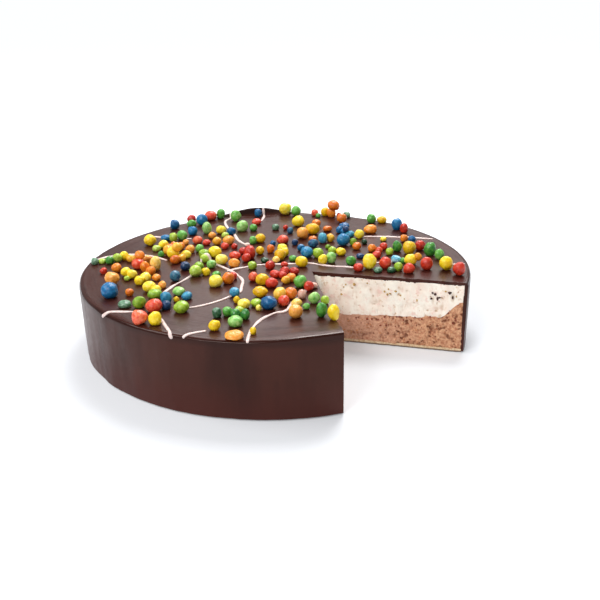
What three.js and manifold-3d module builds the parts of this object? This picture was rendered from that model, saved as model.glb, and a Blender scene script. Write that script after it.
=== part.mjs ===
// Round celebration cake with one portion cut out of it: two fillings over a thin biscuit base,
// a chocolate glaze over the top and side, and sugar-coated candies and thin white drizzle on top.
// Millimetres, +Z up. The origin is the centre of the round base, on the surface it stands on.
// The cut-out portion opens towards -Y.

import * as THREE from 'three';
import { mergeVertices } from 'three/addons/utils/BufferGeometryUtils.js';
import Module from 'manifold-3d';

const wasm = await Module();
wasm.setup();

// Outside
const cakeRadius = 130;
const footRadius = 129.2;
const cakeHeight = 48;
const roundSteps = 64;

// Glaze
const glazeThickness = 2.5;
const glazeInnerRadius = 127.4;
const glazeFoot = 0.7;
const rimRounding = 2.4;
const rimSteps = 3;
const lipRise = 6;
const lipStart = 124.6;
const lipMiddle = 126.1;
const lipAngle = THREE.MathUtils.degToRad(57);
const lipSpread = THREE.MathUtils.degToRad(12);

// Fillings, from the base up
const fitGap = 0.3;
const fillingRadius = glazeInnerRadius - fitGap;
const baseThickness = 2.2;
const sponge = { middle: 21.5, edge: 33, riseStart: 112, wave: 1.3, waveStart: 60, waves: 3, waveTwist: 24 };
// Radii where the top of the sponge and the underside of the cream have their vertices
const layerRadii = [fillingRadius, 123, 118, 112, 84, 45, 0];
const creamTop = cakeHeight - glazeThickness - fitGap;

// Cut-out portion: its tip, and the angle of each cut from the -Y direction
const cutTip = new THREE.Vector2(5.8, -30);
const leftCutAngle = THREE.MathUtils.degToRad(33.3);
const rightCutAngle = THREE.MathUtils.degToRad(33.2);
const cutReach = 160;

// Candies. Their widths run along this heading, across the front view
const frontViewTurn = THREE.MathUtils.degToRad(-39.65);
// Least and most of a candy's depth against its width, and the most that it is turned from the front view
const candyDepths = [0.84, 1.06];
const candyTwist = 0.35;
// Candies are this much wider and taller than the sizes read for them, whose edges are soft
const candyFullness = 1.06;
const candySink = 0.6;
const candyTouch = 0.86;
const candyPile = 0.76;
const candyRimLimit = 125.5;
const candyCutClearance = 1;
const candySeed = 20611;
const settleRounds = 24;
// Coarse pebbles are made this much larger, so that they fill as much room as round ones
const facetAllowance = 1.08;

// Where the candies lie: x, y, the letter of the colour, the width and the height. The letters are y yellow,
// a golden, o orange, r red, w pale, g green, l lime, p dark green, b blue, s sky blue and d dark blue
const candyPlaces = [
  [-82, 79, 'g', 5.5, 6], [-85, 84, 'l', 5.5, 3.6], [-76, 79, 'l', 6, 6.5], [-70, 80, 'y', 6, 6],
  [-69, 73, 'a', 6, 5], [-73, 57, 'r', 8.5, 7], [-66, 46, 'a', 7, 10], [-73, 48, 'o', 6, 7],
  [-87, 61, 'o', 6.5, 6.5], [-101, 42, 'o', 9, 8.2], [-87, 49, 'y', 6.5, 6.5], [-86, 43, 'y', 6.5, 6],
  [-83, 31, 'y', 7, 6.5], [-89, 29, 'y', 6, 6], [-91, 13, 'y', 8, 6.5], [-90, 8, 'y', 5.5, 5.5],
  [-82, 13, 'o', 5, 5], [-95, 1, 'l', 9, 6], [-107, -17, 'r', 9, 7.5], [-110, -6, 'l', 7.5, 7],
  [-116, 1, 'p', 8, 4.5], [-123, -27, 'r', 8.6, 8.2], [-117, -34, 'y', 7.4, 7.8], [-95, -11, 's', 6.5, 7.5],
  [-100, -19, 'd', 5.6, 5.5], [-114, 22, 'b', 10.5, 9.2], [-39, 97, 'y', 8.4, 8.2],
  [-24, 99, 'b', 6.8, 4.6], [-21, 93, 'l', 6, 6.4], [-14, 92, 'g', 7.3, 7.2], [-36, 83, 'y', 6.6, 6.4],
  [-43, 81, 'l', 6, 4.5], [-30, 79, 'o', 5, 5], [-42, 67, 'a', 8, 7.5], [-44, 59, 'y', 8, 8],
  [-49, 48, 'o', 6.5, 6], [-37, 53, 'y', 6.5, 5.6], [-29, 72, 'o', 6.2, 5.5], [-28, 61, 'o', 6.3, 5.8],
  [-69, 18, 'd', 6.5, 7.5], [-52, 32, 'd', 6.5, 6], [-2, 120, 'b', 7.4, 7.6], [17, 125, 'r', 6.8, 7],
  [11, 116, 'g', 7, 5.5], [20, 114, 'b', 8.8, 8.6], [-1, 97, 'b', 7.2, 6.4], [34, 124, 'r', 9.8, 7.6],
  [43, 122, 'g', 6.5, 8], [46, 104, 'g', 7.7, 8.6], [32, 78, 'g', 8.8, 8], [21, 77, 'b', 6.8, 5.4],
  [9, 92, 'g', 7.2, 8.8], [16, 84, 'y', 7.5, 6.3], [-11, 76, 'r', 7, 5.4], [-9, 68, 'r', 5.4, 4.4],
  [4, 79, 'o', 5.5, 5], [-3, 63, 'a', 6.4, 6], [4, 58, 'o', 8, 6.5], [-28, 44, 'l', 7.5, 6.5],
  [-22, 58, 'g', 5.5, 5.5], [-21, 41, 'y', 8.6, 7.4], [-27, 25, 'y', 8, 7], [-25, 14, 'o', 7.2, 6],
  [-45, 26, 'l', 6.5, 5.5], [-37, 23, 'g', 6.5, 6], [-54, 17, 'l', 7.8, 7.8], [-48, 14, 'y', 5.6, 5.2],
  [-46, 5, 'g', 5.5, 4.5], [-56, -8, 'y', 8.9, 7.2], [-47, -9, 'o', 7, 7.2], [-40, -5, 'r', 5, 5],
  [67, 102, 'b', 5.6, 6.8], [52, 85, 'r', 7.6, 4.6], [38, 72, 'g', 6, 5.5], [90, 94, 'y', 10.2, 9.2],
  [91, 82, 'g', 7.2, 8], [72, 58, 'y', 9.2, 7.9], [52, 31, 'o', 8.5, 8.4], [65, 34, 'y', 10.4, 7.8],
  [81, 47, 'o', 6.5, 5.5], [78, 31, 'o', 6.7, 4.5], [55, 12, 'b', 6.8, 7.6], [61, 10, 'a', 5.8, 6.4],
  [43, 9, 'd', 7.2, 5.9], [52, 19, 'o', 6.4, 4.5], [24, -5, 'b', 8.6, 8], [23, 45, 'y', 7.5, 6.4],
  [17, 46, 'g', 5.2, 6.2], [5, 23, 'y', 5.6, 6], [13, 21, 'o', 5.6, 5.8], [33, 31, 'r', 7.8, 6.5],
  [18, 14, 'y', 7.5, 7], [7, 4, 'y', 8, 7.5], [-6, 21, 'r', 8, 9], [-3, 32, 'r', 5.5, 5],
  [-14, 27, 'r', 7.5, 5.5], [22, -23, 'y', 6.2, 6.8], [29, -11, 'l', 6.9, 7.2], [28, -25, 'g', 6.6, 7.6],
  [41, -13, 'l', 6, 6], [44, -18, 'y', 6.6, 5.4], [8, -17, 'y', 8, 7], [12, -4, 'g', 5, 4.2],
  [-11, -22, 'r', 6.2, 5.5], [-6, -26, 'r', 5.8, 5.2], [-18, -21, 'r', 6.4, 4.8], [-16, -34, 'o', 6.2, 5.4],
  [-21, -35, 'a', 5.6, 5], [-19, -46, 'g', 7.8, 7.8], [-19, 2, 'l', 5.8, 5.6], [-10, -6, 'r', 6.3, 5.5],
  [-4, 7, 'p', 5, 4], [-33, -17, 'r', 6.4, 6], [-33, -26, 'y', 8.1, 7.2], [107, 64, 'y', 6.8, 7.5],
  [101, 70, 'r', 5.8, 5.8], [108, 58, 'o', 6.8, 8], [103, 41, 'o', 7.8, 7], [118, 23, 'g', 6.7, 7.4],
  [124, 17, 'y', 7, 6], [97, 4, 'o', 9.8, 6.6], [118, -4, 'b', 7.4, 9.4], [116, -13, 'r', 6.2, 7.4],
  [61, -4, 'b', 9.6, 9.2], [80, 9, 's', 6.6, 4.5], [80, 15, 'b', 5.5, 5], [81, 21, 'b', 5.6, 5.4],
  [93, 28, 'b', 8, 4.4], [82, 1, 'y', 7, 6.7], [66, -8, 'l', 5.5, 5.5], [61, -17, 'o', 6.2, 5.5],
  [99, -28, 'o', 5.8, 5.6], [102, -33, 'b', 5.3, 5.3], [92, -49, 'r', 6.8, 7.2], [87, -62, 'g', 7.8, 9.8],
  [78, -40, 'g', 6.8, 7.8], [69, -41, 'l', 5.3, 5], [80, -49, 'y', 8.8, 9.4], [63, -65, 'y', 8.2, 7],
  [62, -80, 'r', 7.6, 9], [60, -55, 's', 6.5, 4.8], [48, -68, 'l', 5.6, 6], [45, -59, 'r', 7.7, 8.2],
  [42, -67, 'p', 5.6, 4], [36, -61, 'p', 5.6, 3.8], [49, -76, 'r', 7.2, 7], [65, -28, 'o', 6.2, 5.6],
  [75, -30, 'r', 5.4, 5], [57, -40, 'r', 6.4, 5], [34, -38, 'g', 6.5, 6.2], [29, -50, 'r', 6.2, 5.6],
  [37, -52, 'y', 9, 10.2], [71, -89, 'y', 8.8, 9.4], [69, -101, 'r', 7.4, 8.8], [85, -72, 'g', 6.4, 7.3],
  [-81, -4, 'g', 7, 5], [-82, -14, 'b', 6, 5], [-96, -29, 'l', 8.6, 7], [-58, -30, 'b', 6.5, 6],
  [-66, -49, 'y', 7.5, 5.5], [-59, -52, 'l', 6.8, 5], [-76, -63, 'g', 5.5, 6], [-86, -50, 'p', 5.5, 6],
  [-80, -52, 'g', 6, 5.5], [-86, -67, 'g', 8.3, 6.2], [-98, -64, 'y', 6.4, 6.2], [-98, -81, 'o', 10.2, 4.4],
  [-47, -41, 'y', 8.5, 6.3], [-56, -60, 'b', 9, 7.6], [-41, -53, 'a', 7.4, 7.4], [-36, -56, 'o', 7, 6.8],
  [-46, -62, 'r', 6.5, 6], [-54, -81, 'o', 7.7, 7.6], [-31, -61, 'w', 5.5, 5.5], [-19, -54, 'r', 6, 5.8],
  [-14, -53, 'w', 5, 4], [-31, -72, 'g', 6.5, 6.8], [-43, -91, 'g', 6.4, 9], [-41, -99, 'y', 6.4, 9.5],
  [-32, -34, 'r', 7.6, 6.5], [-62, 63, 'o', 6, 5.5], [-73, 41, 'o', 6.5, 5.5], [-36, 75, 'o', 5.5, 5.5],
  [-44, 49, 'a', 6.5, 5.5], [-33, 36, 'l', 6.5, 6], [-5, 51, 'r', 5.5, 4.8], [2, 2, 'a', 5, 4.5],
  [-12, 17, 'r', 6, 6], [-43, -70, 'a', 6, 5.5], [-16, -25, 'r', 5, 4.5], [-79, -58, 'g', 5.5, 5.5],
  [-90, 85, 'p', 4.8, 5], [-91, 41, 'l', 4, 3.5], [-77, 28, 'o', 5.5, 4.5], [-104, 16, 'o', 5, 5],
  [-95, 64, 'r', 4.6, 4.4], [-48, 68, 'g', 4.4, 4.4], [-19, 80, 'o', 4.5, 3.8], [12, 73, 'l', 5.4, 4.5],
  [0, 46, 'r', 4.5, 4.2], [52, 62, 'p', 5.4, 5], [58, 57, 'r', 3.8, 4], [54, 47, 'd', 4.8, 4.8],
  [37, 22, 'd', 4.8, 4.6], [31, 9, 'b', 5.5, 5], [48, -1, 'l', 3.8, 3.4], [10, 44, 'w', 4, 3],
  [26, 34, 'b', 4, 3.4], [0, -9, 'r', 5, 3.6], [99, 64, 'g', 3.6, 4], [118, 49, 'p', 6, 5],
  [74, -12, 'p', 4.2, 4.2], [62, -60, 'g', 4, 4], [66, -34, 'r', 4.8, 4.6], [49, -32, 'd', 5.4, 3.6],
  [-89, -13, 'y', 3.6, 3.6], [-64, -40, 'y', 4, 4.5], [-73, -54, 'l', 5.5, 4.5], [-62, -58, 'y', 3.4, 3.6],
  [-86, -83, 'y', 3.4, 4.5], [-27, -77, 'l', 5, 5], [-41, -76, 'g', 4, 4], [111, 52, 'r', 4, 4.4],
  [90, -16, 'y', 4.4, 3.4],
];
// Candies that lie on the others
const piledPlaces = [
  [-70, 59, 'o', 6.5, 6], [109, 56, 'o', 9.6, 8], [15, 8, 'y', 6, 6], [79, 12, 'd', 5, 4.5],
  [66, -69, 'a', 5, 5], [-42, 56, 'a', 6.5, 6],
];

// Drizzle: a bead laid along each stroke
const drizzleWidth = 2.1;
const drizzleSides = 3;
const drizzleLift = 0.2;
const drizzleStep = 8;
const drizzleStrokes = [
  [[-132, 3], [-129, 0], [-126, -1], [-122, -5], [-116, -10]],
  [[-110, -28], [-114, -39], [-117, -48], [-120, -54]],
  [[-116, -59], [-112, -59], [-107, -60], [-102, -62]],
  [[-95, -89], [-89, -83], [-82, -77], [-74, -72], [-66, -69], [-58, -68], [-52, -70], [-40, -63],
   [-29, -58], [-20, -53], [-12, -50]],
  [[-90, -27], [-84, -29], [-77, -30], [-69, -30], [-61, -29], [-52, -27], [-45, -20], [-38, -12],
   [-34, -1], [-32, 9], [-31, 19], [-31, 30], [-32, 40]],
  [[-90, 3], [-82, 7], [-73, 12], [-65, 15], [-56, 19], [-46, 26], [-36, 36]],
  [[51, 118], [47, 113], [38, 108], [29, 93], [24, 79], [14, 60], [11, 47]],
  [[75, 105], [70, 98], [61, 90], [55, 87]],
  [[-84, 93], [-76, 93], [-68, 90], [-60, 84], [-53, 73], [-50, 57]],
  [[-27, 114], [-23, 108], [-18, 97], [-8, 88]],
  [[-34, 10], [-23, 8], [-14, 6], [-6, 2], [3, -6], [16, -17], [21, -29], [29, -40], [31, -44]],
  [[86, 1], [93, -6], [100, -14], [107, -22], [114, -32], [119, -39]],
  [[44, -44], [52, -50], [59, -55], [54, -64]],
  [[82, -85], [86, -88], [90, -90]],
];

/** Numbers from 0 to 1, the same ones at each run. */
function makeRandom(seed) {
  const multiplier = 48271;
  const modulus = 2147483647;
  let state = seed;
  return () => {
    state = (state * multiplier) % modulus;
    return state / modulus;
  };
}

function between(random, low, high) {
  return low + (high - low) * random();
}

function smoothStep(value, start, end) {
  const t = THREE.MathUtils.clamp((value - start) / (end - start), 0, 1);
  return t * t * (3 - 2 * t);
}

/** How far the glaze stands above its level at a point of the top, where the rim has a raised lip. */
function lipHeight(x, y) {
  const turn = Math.atan2(y, x) - lipAngle;
  const along = Math.exp(-((turn / lipSpread) ** 2));
  return lipRise * along * smoothStep(Math.hypot(x, y), lipStart, cakeRadius - rimRounding);
}

/** Height of the top of the sponge, which climbs towards the side and waves a little round the cake. */
function spongeTop(x, y) {
  const radius = Math.hypot(x, y);
  const turn = Math.atan2(y, x);
  const climb = (sponge.edge - sponge.middle) * smoothStep(radius, sponge.riseStart, fillingRadius);
  const wave = sponge.wave * Math.sin(sponge.waves * turn + radius / sponge.waveTwist);
  return sponge.middle + climb + wave * smoothStep(radius, 0, sponge.waveStart);
}

/** A closed body turned about Z from [radius, height] points that run up its outside. */
function turned(points) {
  const outline = points.map(([radius, height]) => new THREE.Vector2(radius, height));
  const geometry = new THREE.LatheGeometry(outline, roundSteps);
  geometry.rotateX(Math.PI / 2);
  return geometry;
}

/** Moves each vertex up or down by what shift(x, y, z) gives. */
function lifted(geometry, shift) {
  const position = geometry.getAttribute('position');
  for (let i = 0; i < position.count; i += 1) {
    const [x, y, z] = [position.getX(i), position.getY(i), position.getZ(i)];
    position.setZ(i, z + shift(x, y, z));
  }
  return geometry;
}

function toSolid(geometry) {
  geometry.deleteAttribute('normal');
  geometry.deleteAttribute('uv');
  const merged = mergeVertices(geometry, 1e-4);
  return new wasm.Manifold(new wasm.Mesh({
    numProp: 3,
    vertProperties: new Float32Array(merged.getAttribute('position').array),
    triVerts: new Uint32Array(merged.getIndex().array),
  }));
}

function toMesh(name, solid, colour, roughness) {
  const { vertProperties, triVerts } = solid.getMesh();
  const geometry = new THREE.BufferGeometry();
  geometry.setAttribute('position', new THREE.BufferAttribute(vertProperties, 3));
  geometry.setIndex(new THREE.BufferAttribute(triVerts, 1));
  geometry.computeVertexNormals();
  const material = new THREE.MeshStandardMaterial({ color: colour, roughness, metalness: 0 });
  const mesh = new THREE.Mesh(geometry, material);
  mesh.name = name;
  return mesh;
}

/** Unit direction of a cut from the tip to the rim: side is -1 for the left cut and 1 for the right. */
function cutDirection(side) {
  const angle = side < 0 ? leftCutAngle : rightCutAngle;
  return new THREE.Vector2(side * Math.sin(angle), -Math.cos(angle));
}

/** Unit direction square to a cut, away from the cut-out portion. */
function cutNormal(side) {
  const angle = side < 0 ? leftCutAngle : rightCutAngle;
  return new THREE.Vector2(side * Math.cos(angle), Math.sin(angle));
}

/** The cut-out portion as a tall prism that reaches past the rim. */
function portionPrism() {
  const below = 5;
  const outline = new THREE.Shape();
  outline.moveTo(cutTip.x, cutTip.y);
  for (const side of [-1, 1]) {
    const far = cutDirection(side).multiplyScalar(cutReach).add(cutTip);
    outline.lineTo(far.x, far.y);
  }
  outline.closePath();
  const prism = new THREE.ExtrudeGeometry(outline, { depth: cakeHeight + 4 * below, bevelEnabled: false });
  prism.translate(0, 0, -below);
  return toSolid(prism);
}

/** Glaze over the top and side: a cap with a rounded rim, open below. */
function glazeShell() {
  const points = [[0, cakeHeight - glazeThickness], [lipStart, cakeHeight - glazeThickness]];
  points.push([glazeInnerRadius, cakeHeight - glazeThickness]);
  points.push([glazeInnerRadius, glazeFoot], [footRadius, glazeFoot]);
  for (let i = 0; i <= rimSteps; i += 1) {
    const angle = (i / rimSteps) * (Math.PI / 2);
    const radius = cakeRadius - rimRounding + rimRounding * Math.cos(angle);
    points.push([radius, cakeHeight - rimRounding + rimRounding * Math.sin(angle)]);
  }
  points.push([lipMiddle, cakeHeight], [lipStart, cakeHeight], [0, cakeHeight]);
  const isOuter = (z) => z > cakeHeight - rimRounding - 0.01;
  return toSolid(lifted(turned(points), (x, y, z) => (isOuter(z) ? lipHeight(x, y) : 0)));
}

function spongeLayer() {
  const bottom = baseThickness + fitGap;
  const points = [[0, bottom], [fillingRadius, bottom]];
  for (const radius of layerRadii) points.push([radius, sponge.middle]);
  return toSolid(lifted(turned(points), (x, y, z) => (z > bottom + 1 ? spongeTop(x, y) - z : 0)));
}

function creamLayer() {
  const points = [];
  for (const radius of [...layerRadii].reverse()) points.push([radius, sponge.middle]);
  points.push([fillingRadius, creamTop], [0, creamTop]);
  return toSolid(lifted(turned(points), (x, y, z) => (z < creamTop - 1 ? spongeTop(x, y) + fitGap - z : 0)));
}

function biscuitBase() {
  return toSolid(turned([[0, 0], [fillingRadius, 0], [fillingRadius, baseThickness], [0, baseThickness]]));
}

/** Candies at their places, each turned a little from the front view. */
function makeCandies(places, random) {
  return places.map(([x, y, , width, height]) => ({
    x,
    y,
    radius: (candyFullness * width) / 2,
    depth: ((candyFullness * width) / 2) * between(random, ...candyDepths),
    height: (candyFullness * height) / 2,
    turn: frontViewTurn + between(random, -candyTwist, candyTwist),
  }));
}

/** Keeps a candy on the cake: inside the rim, and off the cut-out portion. */
function keepOnTop(candy) {
  const reach = Math.hypot(candy.x, candy.y);
  if (reach > candyRimLimit) {
    candy.x *= candyRimLimit / reach;
    candy.y *= candyRimLimit / reach;
  }
  const offset = new THREE.Vector2(candy.x, candy.y).sub(cutTip);
  const side = offset.x < 0 ? -1 : 1;
  const outward = cutNormal(side);
  const clearance = offset.dot(outward);
  if (offset.dot(cutDirection(side)) > 0 && clearance < candyCutClearance) {
    candy.x += outward.x * (candyCutClearance - clearance);
    candy.y += outward.y * (candyCutClearance - clearance);
  }
}

/** Pushes overlapping candies apart in plan, a little at each round. */
function settleCandies(candies) {
  for (let round = 0; round < settleRounds; round += 1) {
    for (let i = 0; i < candies.length; i += 1) {
      for (let j = i + 1; j < candies.length; j += 1) {
        const [a, b] = [candies[i], candies[j]];
        const [dx, dy] = [b.x - a.x, b.y - a.y];
        const distance = Math.hypot(dx, dy);
        const push = (candyTouch * (a.radius + b.radius) - distance) / 2;
        if (push > 0) {
          a.x -= (dx / distance) * push;
          a.y -= (dy / distance) * push;
          b.x += (dx / distance) * push;
          b.y += (dy / distance) * push;
        }
      }
    }
    candies.forEach(keepOnTop);
  }
}

/** Height of a candy's middle: on the glaze, or on the candies under it. */
function restHeight(candy, below) {
  let height = cakeHeight + lipHeight(candy.x, candy.y) + candy.height - candySink;
  for (const other of below) {
    const reach = candyPile * (candy.radius + other.radius);
    const distance = Math.hypot(candy.x - other.x, candy.y - other.y);
    if (distance < reach) height = Math.max(height, other.z + Math.sqrt(reach ** 2 - distance ** 2));
  }
  return height;
}

function allCandies() {
  const random = makeRandom(candySeed);
  const lower = makeCandies(candyPlaces, random);
  const piled = makeCandies(piledPlaces, random);
  settleCandies(lower);
  for (const candy of lower) candy.z = restHeight(candy, []);
  for (const candy of piled) candy.z = restHeight(candy, lower);
  return [...lower, ...piled];
}

/** A candy as a coarse pebble. */
function candySolid(candy) {
  const geometry = new THREE.IcosahedronGeometry(facetAllowance, 0);
  geometry.scale(candy.radius, candy.depth, candy.height);
  geometry.rotateZ(candy.turn);
  geometry.translate(candy.x, candy.y, candy.z);
  return toSolid(geometry);
}

/** A point of a stroke on the glaze. What would reach past the rim hangs down the side. */
function onGlaze([x, y]) {
  const radius = Math.hypot(x, y);
  const hang = Math.max(0, radius - cakeRadius);
  const kept = (radius - hang) / radius;
  return new THREE.Vector3(x * kept, y * kept, cakeHeight + drizzleLift + lipHeight(x, y) - hang);
}

/** One stroke of drizzle: a bead half sunk in the glaze. */
function drizzleSolid(stroke) {
  const path = new THREE.CatmullRomCurve3(stroke.map(onGlaze));
  const section = new THREE.Shape();
  for (let i = 0; i < drizzleSides; i += 1) {
    const angle = (2 * Math.PI * i) / drizzleSides;
    const point = [Math.cos(angle), Math.sin(angle)].map((part) => (part * drizzleWidth) / 2);
    if (i === 0) section.moveTo(...point);
    else section.lineTo(...point);
  }
  section.closePath();
  const steps = Math.ceil(path.getLength() / drizzleStep);
  return toSolid(new THREE.ExtrudeGeometry(section, { steps, extrudePath: path, bevelEnabled: false }));
}

const portion = portionPrism();
let glaze = glazeShell().subtract(portion);
for (const stroke of drizzleStrokes) glaze = glaze.add(drizzleSolid(stroke));
for (const candy of allCandies()) glaze = glaze.add(candySolid(candy));

const cake = new THREE.Group();
cake.name = 'celebration_cake';
cake.add(toMesh('biscuit_base', biscuitBase().subtract(portion), 0xd8bd98, 0.8));
cake.add(toMesh('chocolate_sponge', spongeLayer().subtract(portion), 0xb07a58, 0.9));
cake.add(toMesh('cream_filling', creamLayer().subtract(portion), 0xf0e2cf, 0.7));
cake.add(toMesh('chocolate_glaze', glaze, 0x3b201c, 0.35));

export default cake;
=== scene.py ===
"""Looks of the celebration cake: glaze, candies, drizzle and the cut fillings.

Sizes are in millimetres and become metres when a mesh is made. +Z is up, the origin is the middle
of the underside, and the cut-out portion opens towards -Y. Every new surface is worked out with
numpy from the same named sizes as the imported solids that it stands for.
"""
import math

import bmesh
import bpy
import numpy as np
from mathutils import Matrix, Vector


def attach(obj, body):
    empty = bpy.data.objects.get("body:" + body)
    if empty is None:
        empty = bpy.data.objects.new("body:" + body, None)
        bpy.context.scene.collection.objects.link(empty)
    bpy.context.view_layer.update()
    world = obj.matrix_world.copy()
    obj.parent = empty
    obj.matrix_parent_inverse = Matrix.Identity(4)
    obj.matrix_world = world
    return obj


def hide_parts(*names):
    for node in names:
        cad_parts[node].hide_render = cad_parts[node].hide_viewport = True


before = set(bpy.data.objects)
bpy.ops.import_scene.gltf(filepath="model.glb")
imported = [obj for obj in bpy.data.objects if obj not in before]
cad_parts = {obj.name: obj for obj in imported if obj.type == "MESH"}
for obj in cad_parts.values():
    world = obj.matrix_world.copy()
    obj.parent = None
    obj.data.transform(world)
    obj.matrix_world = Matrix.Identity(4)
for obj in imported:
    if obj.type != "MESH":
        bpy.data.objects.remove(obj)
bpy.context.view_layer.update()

MM = 0.001

# Outside and glaze
CAKE_RADIUS, FOOT_RADIUS, CAKE_HEIGHT = 130.0, 129.2, 48.0
GLAZE_THICKNESS, GLAZE_INNER_RADIUS, GLAZE_FOOT = 2.5, 127.4, 0.7
# The rim is rounded by this much. Next to the left cut it slopes from further in and drops less, and
# between these two headings from the cut, in radians, it changes to the plain rim
RIM_ROUNDING = 2.4
SLOPED_RIM_WIDTH, SLOPED_RIM_DROP, SLOPED_RIM_END = 3.0, 1.3, (0.5, 1.1)
# Raised lip at the back rim: how high, from how far out, its heading and its spread
LIP_RISE, LIP_START = 6.0, 124.6
LIP_ANGLE, LIP_SPREAD = math.radians(57), math.radians(12)
# Thicker glaze at the end of the left cut: its rise, its length along the rim, and from how far out
CORNER_RISE, CORNER_LENGTH, CORNER_START = 2.2, 62.0, 100.0
# Rings that the spatula left: how far their noise moves on for each radian round the cake, and the
# radii where they fade in
SPATULA_STRETCH, SPATULA_START = 22, (70, 112)

# Fillings
FILLING_RADIUS = 127.1
BASE_THICKNESS = 2.2
SPONGE_MIDDLE, SPONGE_EDGE, SPONGE_RISE_START = 21.5, 33.0, 112.0
SPONGE_WAVE, SPONGE_WAVE_START, SPONGE_WAVES, SPONGE_WAVE_TWIST = 1.3, 60, 3, 24
# The fillings reach this much into what they touch, so that no gap shows
BEDDING = 0.35

# Cut-out portion
CUT_TIP = np.array([5.8, -30.0])
CUT_ANGLES = {-1: math.radians(33.3), 1: math.radians(33.2)}
# All of the cake's outline can be seen from this point of the plan
CAKE_MIDDLE = np.array([5.8, 40.0])
# Spacing of the points along a cut
CUT_GRID = 0.55

# Unevenness of the surfaces: its rise, the width of its lumps, its seed and its octaves
UNEVEN = {
    "rim drop": (0.16, 9, 131, 2), "top waves": (0.22, 38, 11, 2), "spatula rings": (0.1, 3.2, 23, 2),
    "glaze underside": (0.3, 7, 31, 3), "cut glaze": (0.18, 2.6, 53, 2), "cut glaze edge": (0.3, 4, 61, 3),
    "wall bulges": (0.3, 13, 71, 3), "wall ripples": (0.12, 4, 73, 2), "sponge top": (0.7, 9, 41, 3),
    "sponge lumps": (0.5, 3.6, 83, 2), "sponge grains": (0.26, 1.3, 89, 2),
    "cream lumps": (0.42, 5, 97, 3), "cream drags": (0.2, 1.7, 101, 2),
    "biscuit grains": (0.3, 1.6, 103, 3), "biscuit top": (0.25, 5, 107, 2),
    "pits along": (0.45, 1.2, 151, 2), "pits upright": (0.45, 1.2, 157, 2), "bit lumps": (0.3, 0.9, 0, 1),
    "candy lumps": (0.12, 0.85, 113, 2), "drizzle swells": (0.3, 7, 127, 3),
}

# Candies. Their widths run along FRONT_VIEW_TURN, across the front view
CANDY_COLOURS = {"y": "yellow", "a": "golden", "o": "orange", "r": "red", "w": "pale", "g": "green",
                 "l": "lime", "p": "pine", "b": "blue", "s": "sky", "d": "navy"}
FRONT_VIEW_TURN = math.radians(-39.65)
# Least and most of a candy's depth against its width, and the most that it is turned from the front view
CANDY_DEPTHS, CANDY_TWIST = (0.84, 1.06), 0.35
# Candies are this much wider and taller than the sizes read for them, whose edges are soft
CANDY_FULLNESS = 1.06
# How far a candy sinks in, and how near two get, side by side and piled, as a share of their radii
CANDY_SINK, CANDY_TOUCH, CANDY_PILE = 0.6, 0.86, 0.76
CANDY_RIM_LIMIT, CANDY_CUT_CLEARANCE = 125.5, 1
CANDY_SEED, SETTLE_ROUNDS = 20611, 24
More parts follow.
